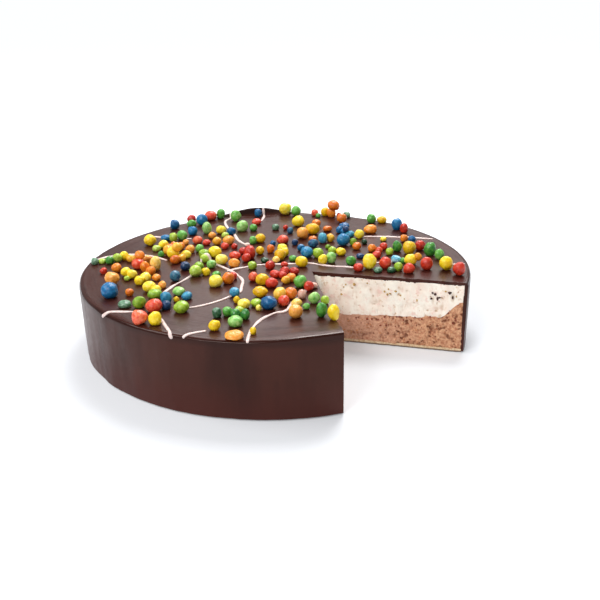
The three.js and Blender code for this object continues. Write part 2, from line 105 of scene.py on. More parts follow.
# Where the candies lie: x, y, the letter of the colour, the width and the height
CANDY_PLACES = [
    (-82, 79, "g", 5.5, 6), (-85, 84, "l", 5.5, 3.6), (-76, 79, "l", 6, 6.5), (-70, 80, "y", 6, 6),
    (-69, 73, "a", 6, 5), (-73, 57, "r", 8.5, 7), (-66, 46, "a", 7, 10), (-73, 48, "o", 6, 7),
    (-87, 61, "o", 6.5, 6.5), (-101, 42, "o", 9, 8.2), (-87, 49, "y", 6.5, 6.5), (-86, 43, "y", 6.5, 6),
    (-83, 31, "y", 7, 6.5), (-89, 29, "y", 6, 6), (-91, 13, "y", 8, 6.5), (-90, 8, "y", 5.5, 5.5),
    (-82, 13, "o", 5, 5), (-95, 1, "l", 9, 6), (-107, -17, "r", 9, 7.5), (-110, -6, "l", 7.5, 7),
    (-116, 1, "p", 8, 4.5), (-123, -27, "r", 8.6, 8.2), (-117, -34, "y", 7.4, 7.8),
    (-95, -11, "s", 6.5, 7.5), (-100, -19, "d", 5.6, 5.5), (-114, 22, "b", 10.5, 9.2),
    (-39, 97, "y", 8.4, 8.2), (-24, 99, "b", 6.8, 4.6), (-21, 93, "l", 6, 6.4), (-14, 92, "g", 7.3, 7.2),
    (-36, 83, "y", 6.6, 6.4), (-43, 81, "l", 6, 4.5), (-30, 79, "o", 5, 5), (-42, 67, "a", 8, 7.5),
    (-44, 59, "y", 8, 8), (-49, 48, "o", 6.5, 6), (-37, 53, "y", 6.5, 5.6), (-29, 72, "o", 6.2, 5.5),
    (-28, 61, "o", 6.3, 5.8), (-69, 18, "d", 6.5, 7.5), (-52, 32, "d", 6.5, 6), (-2, 120, "b", 7.4, 7.6),
    (17, 125, "r", 6.8, 7), (11, 116, "g", 7, 5.5), (20, 114, "b", 8.8, 8.6), (-1, 97, "b", 7.2, 6.4),
    (34, 124, "r", 9.8, 7.6), (43, 122, "g", 6.5, 8), (46, 104, "g", 7.7, 8.6), (32, 78, "g", 8.8, 8),
    (21, 77, "b", 6.8, 5.4), (9, 92, "g", 7.2, 8.8), (16, 84, "y", 7.5, 6.3), (-11, 76, "r", 7, 5.4),
    (-9, 68, "r", 5.4, 4.4), (4, 79, "o", 5.5, 5), (-3, 63, "a", 6.4, 6), (4, 58, "o", 8, 6.5),
    (-28, 44, "l", 7.5, 6.5), (-22, 58, "g", 5.5, 5.5), (-21, 41, "y", 8.6, 7.4), (-27, 25, "y", 8, 7),
    (-25, 14, "o", 7.2, 6), (-45, 26, "l", 6.5, 5.5), (-37, 23, "g", 6.5, 6), (-54, 17, "l", 7.8, 7.8),
    (-48, 14, "y", 5.6, 5.2), (-46, 5, "g", 5.5, 4.5), (-56, -8, "y", 8.9, 7.2), (-47, -9, "o", 7, 7.2),
    (-40, -5, "r", 5, 5), (67, 102, "b", 5.6, 6.8), (52, 85, "r", 7.6, 4.6), (38, 72, "g", 6, 5.5),
    (90, 94, "y", 10.2, 9.2), (91, 82, "g", 7.2, 8), (72, 58, "y", 9.2, 7.9), (52, 31, "o", 8.5, 8.4),
    (65, 34, "y", 10.4, 7.8), (81, 47, "o", 6.5, 5.5), (78, 31, "o", 6.7, 4.5), (55, 12, "b", 6.8, 7.6),
    (61, 10, "a", 5.8, 6.4), (43, 9, "d", 7.2, 5.9), (52, 19, "o", 6.4, 4.5), (24, -5, "b", 8.6, 8),
    (23, 45, "y", 7.5, 6.4), (17, 46, "g", 5.2, 6.2), (5, 23, "y", 5.6, 6), (13, 21, "o", 5.6, 5.8),
    (33, 31, "r", 7.8, 6.5), (18, 14, "y", 7.5, 7), (7, 4, "y", 8, 7.5), (-6, 21, "r", 8, 9),
    (-3, 32, "r", 5.5, 5), (-14, 27, "r", 7.5, 5.5), (22, -23, "y", 6.2, 6.8), (29, -11, "l", 6.9, 7.2),
    (28, -25, "g", 6.6, 7.6), (41, -13, "l", 6, 6), (44, -18, "y", 6.6, 5.4), (8, -17, "y", 8, 7),
    (12, -4, "g", 5, 4.2), (-11, -22, "r", 6.2, 5.5), (-6, -26, "r", 5.8, 5.2), (-18, -21, "r", 6.4, 4.8),
    (-16, -34, "o", 6.2, 5.4), (-21, -35, "a", 5.6, 5), (-19, -46, "g", 7.8, 7.8), (-19, 2, "l", 5.8, 5.6),
    (-10, -6, "r", 6.3, 5.5), (-4, 7, "p", 5, 4), (-33, -17, "r", 6.4, 6), (-33, -26, "y", 8.1, 7.2),
    (107, 64, "y", 6.8, 7.5), (101, 70, "r", 5.8, 5.8), (108, 58, "o", 6.8, 8), (103, 41, "o", 7.8, 7),
    (118, 23, "g", 6.7, 7.4), (124, 17, "y", 7, 6), (97, 4, "o", 9.8, 6.6), (118, -4, "b", 7.4, 9.4),
    (116, -13, "r", 6.2, 7.4), (61, -4, "b", 9.6, 9.2), (80, 9, "s", 6.6, 4.5), (80, 15, "b", 5.5, 5),
    (81, 21, "b", 5.6, 5.4), (93, 28, "b", 8, 4.4), (82, 1, "y", 7, 6.7), (66, -8, "l", 5.5, 5.5),
    (61, -17, "o", 6.2, 5.5), (99, -28, "o", 5.8, 5.6), (102, -33, "b", 5.3, 5.3), (92, -49, "r", 6.8, 7.2),
    (87, -62, "g", 7.8, 9.8), (78, -40, "g", 6.8, 7.8), (69, -41, "l", 5.3, 5), (80, -49, "y", 8.8, 9.4),
    (63, -65, "y", 8.2, 7), (62, -80, "r", 7.6, 9), (60, -55, "s", 6.5, 4.8), (48, -68, "l", 5.6, 6),
    (45, -59, "r", 7.7, 8.2), (42, -67, "p", 5.6, 4), (36, -61, "p", 5.6, 3.8), (49, -76, "r", 7.2, 7),
    (65, -28, "o", 6.2, 5.6), (75, -30, "r", 5.4, 5), (57, -40, "r", 6.4, 5), (34, -38, "g", 6.5, 6.2),
    (29, -50, "r", 6.2, 5.6), (37, -52, "y", 9, 10.2), (71, -89, "y", 8.8, 9.4), (69, -101, "r", 7.4, 8.8),
    (85, -72, "g", 6.4, 7.3), (-81, -4, "g", 7, 5), (-82, -14, "b", 6, 5), (-96, -29, "l", 8.6, 7),
    (-58, -30, "b", 6.5, 6), (-66, -49, "y", 7.5, 5.5), (-59, -52, "l", 6.8, 5), (-76, -63, "g", 5.5, 6),
    (-86, -50, "p", 5.5, 6), (-80, -52, "g", 6, 5.5), (-86, -67, "g", 8.3, 6.2), (-98, -64, "y", 6.4, 6.2),
    (-98, -81, "o", 10.2, 4.4), (-47, -41, "y", 8.5, 6.3), (-56, -60, "b", 9, 7.6),
    (-41, -53, "a", 7.4, 7.4), (-36, -56, "o", 7, 6.8), (-46, -62, "r", 6.5, 6), (-54, -81, "o", 7.7, 7.6),
    (-31, -61, "w", 5.5, 5.5), (-19, -54, "r", 6, 5.8), (-14, -53, "w", 5, 4), (-31, -72, "g", 6.5, 6.8),
    (-43, -91, "g", 6.4, 9), (-41, -99, "y", 6.4, 9.5), (-32, -34, "r", 7.6, 6.5), (-62, 63, "o", 6, 5.5),
    (-73, 41, "o", 6.5, 5.5), (-36, 75, "o", 5.5, 5.5), (-44, 49, "a", 6.5, 5.5), (-33, 36, "l", 6.5, 6),
    (-5, 51, "r", 5.5, 4.8), (2, 2, "a", 5, 4.5), (-12, 17, "r", 6, 6), (-43, -70, "a", 6, 5.5),
    (-16, -25, "r", 5, 4.5), (-79, -58, "g", 5.5, 5.5), (-90, 85, "p", 4.8, 5), (-91, 41, "l", 4, 3.5),
    (-77, 28, "o", 5.5, 4.5), (-104, 16, "o", 5, 5), (-95, 64, "r", 4.6, 4.4), (-48, 68, "g", 4.4, 4.4),
    (-19, 80, "o", 4.5, 3.8), (12, 73, "l", 5.4, 4.5), (0, 46, "r", 4.5, 4.2), (52, 62, "p", 5.4, 5),
    (58, 57, "r", 3.8, 4), (54, 47, "d", 4.8, 4.8), (37, 22, "d", 4.8, 4.6), (31, 9, "b", 5.5, 5),
    (48, -1, "l", 3.8, 3.4), (10, 44, "w", 4, 3), (26, 34, "b", 4, 3.4), (0, -9, "r", 5, 3.6),
    (99, 64, "g", 3.6, 4), (118, 49, "p", 6, 5), (74, -12, "p", 4.2, 4.2), (62, -60, "g", 4, 4),
    (66, -34, "r", 4.8, 4.6), (49, -32, "d", 5.4, 3.6), (-89, -13, "y", 3.6, 3.6), (-64, -40, "y", 4, 4.5),
    (-73, -54, "l", 5.5, 4.5), (-62, -58, "y", 3.4, 3.6), (-86, -83, "y", 3.4, 4.5), (-27, -77, "l", 5, 5),
    (-41, -76, "g", 4, 4), (111, 52, "r", 4, 4.4), (90, -16, "y", 4.4, 3.4),
]
# Candies that lie on the others
PILED_PLACES = [
    (-70, 59, "o", 6.5, 6), (109, 56, "o", 9.6, 8), (15, 8, "y", 6, 6), (79, 12, "d", 5, 4.5),
    (66, -69, "a", 5, 5), (-42, 56, "a", 6.5, 6),
]

# Drizzle. It grows thinner towards its ends, to this share of its width over the first length, and
# its ends are rounded over the second one
DRIZZLE_WIDTH, DRIZZLE_HEIGHT = 2.1, 1.2
DRIZZLE_THINNEST, DRIZZLE_THINNING, DRIZZLE_ROUNDING = 0.75, 5, 0.8
# Spacing of its points, points of its section, and the share of its thickness by which it is raised
DRIZZLE_STEP, DRIZZLE_SIDES, DRIZZLE_LIFT = 0.5, 12, 0.2
# The shift in the noise from one stroke to the next
DRIZZLE_SHIFT = 9.7
# Rise of the icing for each millimetre along, where it climbs a candy, for this many points at most
DRIZZLE_STEEPEST, DRIZZLE_CLIMB_POINTS = 2.4, 8
# The icing lies over the candy nearest to this place
DRIZZLED_PLACE = -33, 36
DRIZZLE_STROKES = [
    [(-132, 3), (-129, 0), (-126, -1), (-122, -5), (-116, -10)],
    [(-110, -28), (-114, -39), (-117, -48), (-120, -54)],
    [(-116, -59), (-112, -59), (-107, -60), (-102, -62)],
    [(-95, -89), (-89, -83), (-82, -77), (-74, -72), (-66, -69), (-58, -68), (-52, -70), (-40, -63),
     (-29, -58), (-20, -53), (-12, -50)],
    [(-90, -27), (-84, -29), (-77, -30), (-69, -30), (-61, -29), (-52, -27), (-45, -20), (-38, -12),
     (-34, -1), (-32, 9), (-31, 19), (-31, 30), (-32, 40)],
    [(-90, 3), (-82, 7), (-73, 12), (-65, 15), (-56, 19), (-46, 26), (-36, 36)],
    [(51, 118), (47, 113), (38, 108), (29, 93), (24, 79), (14, 60), (11, 47)],
    [(75, 105), (70, 98), (61, 90), (55, 87)],
    [(-84, 93), (-76, 93), (-68, 90), (-60, 84), (-53, 73), (-50, 57)],
    [(-27, 114), (-23, 108), (-18, 97), (-8, 88)],
    [(-34, 10), (-23, 8), (-14, 6), (-6, 2), (3, -6), (16, -17), (21, -29), (29, -40), (31, -44)],
    [(86, 1), (93, -6), (100, -14), (107, -22), (114, -32), (119, -39)],
    [(44, -44), (52, -50), (59, -55), (54, -64)],
    [(82, -85), (86, -88), (90, -90)],
]


# Numbers and noise

# Factor and modulus of the row of random numbers
RANDOM_FACTOR, RANDOM_MODULUS = 48271, 2147483647
# Large odd numbers that mix the bits of a point and a seed, and the masks of the lowest 32 and 24 bits
POINT_MIXERS = 73856093, 19349663, 83492791, 2654435761
BIT_STIRRERS = (15, 2246822519), (13, 3266489917)
LOW_32, LOW_24 = 0xFFFFFFFF, 0xFFFFFF
OCTAVE_SHIFT = 31.7


def make_random(seed):
    """Draws between two values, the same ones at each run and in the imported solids."""
    state = seed

    def draw(low, high):
        nonlocal state
        state = state * RANDOM_FACTOR % RANDOM_MODULUS
        return low + (high - low) * (state / RANDOM_MODULUS)

    return draw


def smooth_step(value, start, end):
    """0 before start, 1 after end, and an even S curve between them."""
    t = np.clip((value - start) / (end - start), 0, 1)
    return t * t * (3 - 2 * t)


def lattice_value(i, j, k, seed):
    """A fixed number from -1 to 1 for each whole-number point, from mixed bits of its coordinates."""
    a, b, c, d = POINT_MIXERS
    mixed = ((i * a) ^ (j * b) ^ (k * c) ^ (seed * d)) & LOW_32
    for shift, stirrer in BIT_STIRRERS:
        mixed = ((mixed ^ (mixed >> shift)) * stirrer) & LOW_32
    return ((mixed ^ (mixed >> 16)) & LOW_24) / (LOW_24 >> 1) - 1


def cloud(x, y, z, size, seed, octaves=1):
    """Smooth noise from about -1 to 1 whose lumps are about size across: lattice values blended
    along the three axes, with each further octave at half the size and half the height."""
    total, height = 0.0, 1.0
    for octave in range(octaves):
        parts = [np.asarray(v, float) / size + OCTAVE_SHIFT * octave for v in (x, y, z)]
        cells = [np.floor(v).astype(np.int64) for v in parts]
        fades = [smooth_step(v - c, 0, 1) for v, c in zip(parts, cells)]
        value = 0.0
        for corner in range(8):
            steps = [(corner >> axis) & 1 for axis in range(3)]
            weight = 1.0
            for fade, step in zip(fades, steps):
                weight = weight * (fade if step else 1 - fade)
            value = value + weight * lattice_value(*[c + s for c, s in zip(cells, steps)], seed + octave)
        total = total + height * value
        height, size = height / 2, size / 2
    return total


def uneven(kind, x, y, z=0, seed=0):
    """One kind of unevenness: noise of its own size, seed and octaves, times its rise. seed is added
    to its own for another pattern."""
    rise, size, own_seed, octaves = UNEVEN[kind]
    return rise * cloud(x, y, z, size, own_seed + seed, octaves)


# Cake outline

def cut_direction(side):
    """Unit direction of a cut from the tip to the rim: side is -1 for the left cut, 1 for the right."""
    return np.array([side * math.sin(CUT_ANGLES[side]), -math.cos(CUT_ANGLES[side])])


def cut_inward(side):
    """Unit direction square to a cut, into the cake."""
    return np.array([side * math.cos(CUT_ANGLES[side]), math.sin(CUT_ANGLES[side])])


def cut_length(radius, side):
    """Length of a cut from the tip to a circle of this radius round the origin."""
    along = CUT_TIP @ cut_direction(side)
    return -along + np.sqrt(along ** 2 - CUT_TIP @ CUT_TIP + np.asarray(radius, float) ** 2)


def cut_heading(side, radius):
    """Heading from the cake's axis of the point where a cut meets a circle of this radius."""
    length = cut_length(radius, side)
    x, y = [CUT_TIP[axis] + cut_direction(side)[axis] * length for axis in range(2)]
    return np.arctan2(y, x)


def arc_points(share, radius):
    """Points on a circle from the left cut (share 0) clockwise round the back to the right cut (1).
    The two ends are on the cuts at any radius, so a wall built from them ends flush with the cut."""
    left, right = cut_heading(-1, radius), cut_heading(1, radius) - 2 * math.pi
    turn = left + share * (right - left)
    return np.stack([radius * np.cos(turn), radius * np.sin(turn)], -1)


def cut_points(side, radius, count):
    """Evenly spaced points along a cut, from the tip to a circle of this radius."""
    return CUT_TIP + cut_direction(side) * (np.linspace(0, 1, count) * cut_length(radius, side))[:, None]


def outline(radius, cut_count, arc_count):
    """The cake's plan as one closed loop: tip, left cut, arc round the back, right cut, tip. radius
    is one number, or one for each point of the arc. Also gives which cut each point is on, -1 or
    1, and 0 on the arc."""
    radii = np.broadcast_to(radius, arc_count)
    left = cut_points(-1, radii[0], cut_count)
    right = cut_points(1, radii[-1], cut_count)[::-1]
    arc = arc_points(np.linspace(0, 1, arc_count), radii)[1:-1]
    sides = np.concatenate([-np.ones(cut_count), np.zeros(arc_count - 2), np.ones(cut_count)])
    return np.concatenate([left, arc, right]), sides


def off_the_cut(sides):
    """Unit direction out of the cut that each point of an outline is on."""
    return np.where(sides[:, None] < 0, -cut_inward(-1), -cut_inward(1))


# Headings this little before the left cut still count from it
HEADING_MARGIN = 0.1


def rim_shape(x, y):
    """How far in the rim's rounding starts and how far it drops, for the heading of each point."""
    turn = np.arctan2(y, x)
    past_cut = (cut_heading(-1, CAKE_RADIUS) - turn + HEADING_MARGIN) % (2 * math.pi) - HEADING_MARGIN
    plain = smooth_step(past_cut, *SLOPED_RIM_END)
    change = 1 + uneven("rim drop", CAKE_RADIUS * np.cos(turn), CAKE_RADIUS * np.sin(turn))
    width = SLOPED_RIM_WIDTH + (RIM_ROUNDING - SLOPED_RIM_WIDTH) * plain
    drop = (SLOPED_RIM_DROP + (RIM_ROUNDING - SLOPED_RIM_DROP) * plain) * change
    return width, drop


def lip_height(x, y):
    """Height of the glaze's raised lip: a bell curve round the rim, fading in towards the edge."""
    along = np.exp(-((np.arctan2(y, x) - LIP_ANGLE) / LIP_SPREAD) ** 2)
    return LIP_RISE * along * smooth_step(np.hypot(x, y), LIP_START, CAKE_RADIUS - RIM_ROUNDING)


def glaze_top(x, y):
    """Height of the glaze: its level, the lip, the thicker end by the left cut, broad waves, and
    fine rings that the spatula left towards the rim."""
    radius, turn = np.hypot(x, y), np.arctan2(y, x)
    corner = CUT_TIP + cut_direction(-1) * cut_length(CAKE_RADIUS, -1)
    from_corner = np.hypot(x - corner[0], y - corner[1])
    corner_rise = CORNER_RISE * smooth_step(CORNER_LENGTH - from_corner, 0, CORNER_LENGTH)
    corner_rise = corner_rise * smooth_step(radius, CORNER_START, CAKE_RADIUS)
    ridges = uneven("spatula rings", radius, turn * SPATULA_STRETCH) * smooth_step(radius, *SPATULA_START)
    return CAKE_HEIGHT + lip_height(x, y) + corner_rise + uneven("top waves", x, y) + ridges


def glaze_underside(x, y):
    """Height of the glaze's underside, a little uneven where it met the cream."""
    return CAKE_HEIGHT - GLAZE_THICKNESS + uneven("glaze underside", x, y)


def sponge_top(x, y):
    """Height where the sponge meets the cream: it climbs towards the side, waves round the cake
    and is uneven as spread cream is."""
    radius, turn = np.hypot(x, y), np.arctan2(y, x)
    climb = (SPONGE_EDGE - SPONGE_MIDDLE) * smooth_step(radius, SPONGE_RISE_START, FILLING_RADIUS)
    wave = SPONGE_WAVE * smooth_step(radius, 0, SPONGE_WAVE_START)
    wave = wave * np.sin(SPONGE_WAVES * turn + radius / SPONGE_WAVE_TWIST)
    return SPONGE_MIDDLE + climb + wave + uneven("sponge top", x, y)


# Meshes

# Points nearer than about this become one
WELD_DISTANCE = 2e-3


def grid_faces(rows, columns, closed):
    """Four-sided faces of a grid of points, row by row. A closed grid joins its last column to its first."""
    row, column = np.mgrid[0:rows - 1, 0:columns if closed else columns - 1]
    after = (column + 1) % columns
    corners = [row * columns + column, row * columns + after,
               (row + 1) * columns + after, (row + 1) * columns + column]
    return np.stack(corners, -1).reshape(-1, 4)


def weld(grids, closed):
    """Joins grids, each rows by columns by 3, into one list of points and faces: points in the same
    place become one, and a four-sided face that has lost a side becomes a triangle."""
    points, quads, start = [], [], 0
    for grid in grids:
        points.append(grid.reshape(-1, 3))
        quads.append(grid_faces(*grid.shape[:2], closed) + start)
        start += len(points[-1])
    points, quads = np.concatenate(points), np.concatenate(quads)
    _, first, index = np.unique(np.round(points / WELD_DISTANCE).astype(np.int64), axis=0,
                                return_index=True, return_inverse=True)
    quads = index.reshape(-1)[quads]
    same = quads == np.roll(quads, -1, axis=1)
    faces = quads[~same.any(1)].tolist()
    for corner in range(4):
        lost = same[:, corner] & (same.sum(1) == 1)
        kept = [c for c in range(4) if c != corner]
        faces += quads[lost][:, kept].tolist()
    return points[first], faces, first


def lumpy_balls(kind, rows, columns, shift, halves, axes, middles, seed=0):
    """Small lumps, a closed grid each: a round ball, from its upper pole to its lower one, whose
    radius swells and sinks by a kind of unevenness, shifted from lump to lump. It is stretched to
    half of its three sizes, the first two along its two axes in the plan, and put at its middle."""
    lean = np.linspace(0, math.pi, rows)[:, None]
    turn = np.linspace(0, 2 * math.pi, columns, endpoint=False)[None, :]
    u, v, w = [part[None] for part in (np.sin(lean) * np.cos(turn), np.sin(lean) * np.sin(turn),
                                       np.cos(lean) + 0 * turn)]
    swell = 1 + uneven(kind, u + shift[:, None, None], v, w, seed)

    def spread(numbers):
        return numbers[:, None, None]

    a, b, c = [part * swell * spread(halves[:, axis]) for axis, part in enumerate((u, v, w))]
    x, y = [a * spread(axes[:, 0, axis]) + b * spread(axes[:, 1, axis]) + spread(middles[:, axis])
            for axis in range(2)]
    points = np.stack([x, y, c + spread(middles[:, 2])], -1)
    for pole in (0, -1):
        points[:, pole] = points[:, pole].mean(1, keepdims=True)
    return list(points)


def add_object(name, data):
    """A new object in the scene."""
    added = bpy.data.objects.new(name, data)
    bpy.context.scene.collection.objects.link(added)
    return added


def make_piece(name, grids, material, replaced=None, sharp=0, marks=None, closed=False):
    """Makes one closed mesh of the grids, with its faces turned outwards, and lets it ride on the
    cake. Edges that bend by more than sharp degrees stay sharp. marks holds number attributes for
    the material, one value a point before welding."""
    points, faces, first = weld(grids, closed)
    mesh = bpy.data.meshes.new(name)
    mesh.from_pydata(points * MM, [], faces)
    for label, values in (marks or {}).items():
        layer = mesh.attributes.new(label, "FLOAT", "POINT")
        layer.data.foreach_set("value", np.asarray(values, np.float32)[first])
    cage = bmesh.new()
    cage.from_mesh(mesh)
    bmesh.ops.recalc_face_normals(cage, faces=cage.faces)
    cage.to_mesh(mesh)
    cage.free()
    mesh.polygons.foreach_set("use_smooth", np.ones(len(mesh.polygons), bool))
    if sharp:
        mesh.set_sharp_from_angle(angle=math.radians(sharp))
    mesh.materials.append(material)
    piece = add_object(name, mesh)
    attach(piece, "root")
    if replaced:
        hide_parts(replaced)
    return piece


# Materials

# Tones as they look on a screen, from 0 to 255
CHOCOLATE_TONES = (57, 25, 18), (63, 29, 22)
# Of the next two lines, the streak tone is painted reflection, the foot tone painted light from the floor,
# and the tones under the rim and on the lip painted shade
STREAK_SHEEN_TONE, RING_TONE, FLOOR_BOUNCE_TONE = (68, 33, 28), (34, 14, 12), (84, 38, 34)
PAINTED_RIM_SHADE_TONE, LIP_SHADE_TONE = (30, 11, 9), (28, 11, 11)
CREAM_TONES = (246, 239, 226), (241, 225, 210)
# The last tone here is painted shade in the cream's pits
PINK_TONE, STAIN_TONE, CREAM_PIT_SHADE_TONE = (234, 198, 184), (208, 172, 132), (186, 150, 116)
SPONGE_TIP_TONES, SPONGE_OUTER_TONES = ((192, 140, 114), (214, 166, 142)), ((180, 120, 88), (220, 170, 132))
# The second tone here is painted shade in the sponge's pits
RUSTY_TONE, SPONGE_PIT_SHADE_TONE = (150, 70, 40), (112, 58, 36)
# The last tone here is painted shade along the biscuit's underside
BISCUIT_TONES, UNDERSIDE_SHADE_TONE = ((196, 160, 120), (234, 212, 176)), (112, 92, 78)
DRIZZLE_TONES = (226, 208, 202), (212, 186, 180)
# Where a tone or a gloss fades in or out, in metres: heights, distances from the upright axis, and
# distances towards the back
# Heights over which the painted light from the floor fades out up the foot
FLOOR_BOUNCE_HEIGHTS = 0, 0.024
# Where the painted shade right under the rim and on the raised lip lies
PAINTED_RIM_SHADE_HEIGHTS, PAINTED_RIM_SHADE_RADII = (0.043, 0.0465), (0.1285, 0.1292)
LIP_SHADE_HEIGHTS, LIP_SHADE_BEHIND = (0.0486, 0.0505), (0, 0.03)
SMOOTH_RIM_HEIGHTS, SMOOTH_RIM_RADII = (0.0462, 0.0468), (0.1268, 0.1276)
OUTER_RADII = 0.085, 0.12
UNDERSIDE_SHADE_HEIGHTS = 0.0006, 0.0012
# The stretch of a grain's values over which two tones show about alike
HALF_AND_HALF = 0.35, 0.65
# How deep a pit is, as a share of a full one, when its painted shade starts to show and when it
# shows most, and how much of it shows then
PIT_SHADE_SPREAD = 0.25, 0.9, 0, 0.85
# Roughness, and the strength of the reflections as an index of refraction, with their tint on the glaze
CREAM_ROUGHNESS, SPONGE_ROUGHNESS, BISCUIT_ROUGHNESS = 0.6, 0.85, 0.8
BIT_ROUGHNESS, DRIZZLE_ROUGHNESS, FLOOR_ROUGHNESS = 0.6, 0.42, 0.9
GLAZE_IOR, GLAZE_TINT, FILLING_IOR, CANDY_IOR = 1.3, (1, 0.82, 0.75, 1), 1.4, 1.5


def tone(red, green, blue):
    """A colour read as 0 to 255 on a screen, as the linear values that a shader needs."""
    parts = np.array([red, green, blue]) / 255
    linear = np.where(parts <= 0.04045, parts / 12.92, ((parts + 0.055) / 1.055) ** 2.4)
    return (*[float(v) for v in linear], 1.0)


def new_material(name):
    """An empty node material with one Principled shader, and its node tree."""
    material = bpy.data.materials.new(name)
    material.use_nodes = True
    tree = material.node_tree
    tree.nodes.clear()
    shader = tree.nodes.new("ShaderNodeBsdfPrincipled")
    output = tree.nodes.new("ShaderNodeOutputMaterial")
    tree.links.new(shader.outputs["BSDF"], output.inputs["Surface"])
    return material, tree, shader


def put(tree, socket, value):
    """Links a socket to another node's output, or sets its value."""
    if isinstance(value, bpy.types.NodeSocket):
        tree.links.new(value, socket)
    else:
        socket.default_value = value


def node(tree, kind, inputs, **settings):
    """A node of this kind, by its outputs. inputs holds what goes into its sockets, by their names or
    numbers, and settings its own choices."""
    made = tree.nodes.new("ShaderNode" + kind)
    for name, choice in settings.items():
        setattr(made, name, choice)
    for socket, value in inputs.items():
        put(tree, made.inputs[socket], value)
    return made.outputs


def place(tree, stretch=(1, 1, 1)):
    """Object coordinates, stretched along the axes."""
    return node(tree, "Mapping", {"Vector": node(tree, "TexCoord", {})["Object"], "Scale": stretch})["Vector"]


def axis_parts(tree, value):
    """The three numbers of a vector, by the names X, Y and Z. Of a place, they are in metres."""
    return node(tree, "SeparateXYZ", {0: value})


def grain(tree, size, detail=3.0, roughness=0.55, stretch=(1, 1, 1), where=None):
    """Noise from 0 to 1 whose lumps are about size millimetres across."""
    return node(tree, "TexNoise", {"Vector": where or place(tree, stretch), "Scale": 1 / (size * MM),
                                   "Detail": detail, "Roughness": roughness})["Fac"]


def sums(tree, operation, *values):
    """A Math node."""
    return node(tree, "Math", dict(enumerate(values)), operation=operation)[0]


def between(tree, value, low, high, start=0.0, end=1.0):
    """Spreads a value from low..high to start..end, without leaving it."""
    return node(tree, "MapRange", dict(enumerate((value, low, high, start, end))))[0]


def blend(tree, share, first, second):
    """Two colours mixed by a share."""
    return node(tree, "Mix", {0: share, 6: first, 7: second}, data_type="RGBA")[2]


def two_tones(tree, value, first, second, low=HALF_AND_HALF[0], high=HALF_AND_HALF[1]):
    """Two tones: the first where a value is under low, the second where it is over high."""
    return blend(tree, between(tree, value, low, high), tone(*first), tone(*second))


def tint(tree, colour, shade, value, *spread):
    """A colour with a tone laid over it by a value, first spread as between does where that is given."""
    share = between(tree, value, *spread) if spread else value
    return blend(tree, share, colour, tone(*shade))


def mark(tree, name):
    """A number that the mesh carries at each point."""
    return node(tree, "Attribute", {}, attribute_name=name)["Fac"]


def relief(tree, shader, height, depth, under=None):
    """Fine relief of this depth in millimetres, from a height of 0 to 1, on the relief under it."""
    inputs = {"Height": height, "Distance": depth * MM, "Strength": 1.0}
    if under is not None:
        inputs["Normal"] = under
    normal = node(tree, "Bump", inputs)["Normal"]
    put(tree, shader.inputs["Normal"], normal)
    return normal


def from_axis(tree):
    """The direction away from the cake's upright axis, and the distance from it."""
    flat = place(tree, (1, 1, 0))
    return (node(tree, "VectorMath", {0: flat}, operation="NORMALIZE")["Vector"],
            node(tree, "VectorMath", {0: flat}, operation="LENGTH")["Value"])


def rings(tree, size, stretch):
    """Noise in streaks that follow the rim: it changes over size millimetres along the radius, and
    stretch times more slowly round the cake."""
    heading, reach = from_axis(tree)
    around = {0: heading, "Scale": CAKE_RADIUS * MM / stretch}
    parts = axis_parts(tree, node(tree, "VectorMath", around, operation="SCALE")["Vector"])
    where = node(tree, "CombineXYZ", {"X": parts["X"], "Y": parts["Y"], "Z": reach})
    return grain(tree, size, 4, 0.6, where=where["Vector"])


def coat(tree, shader, colour, roughness, reflections=None):
    """Sets the colour, the roughness and, where it isn't the usual one, the index of refraction."""
    put(tree, shader.inputs["Base Color"], colour)
    put(tree, shader.inputs["Roughness"], roughness)
    if reflections:
        shader.inputs["IOR"].default_value = reflections


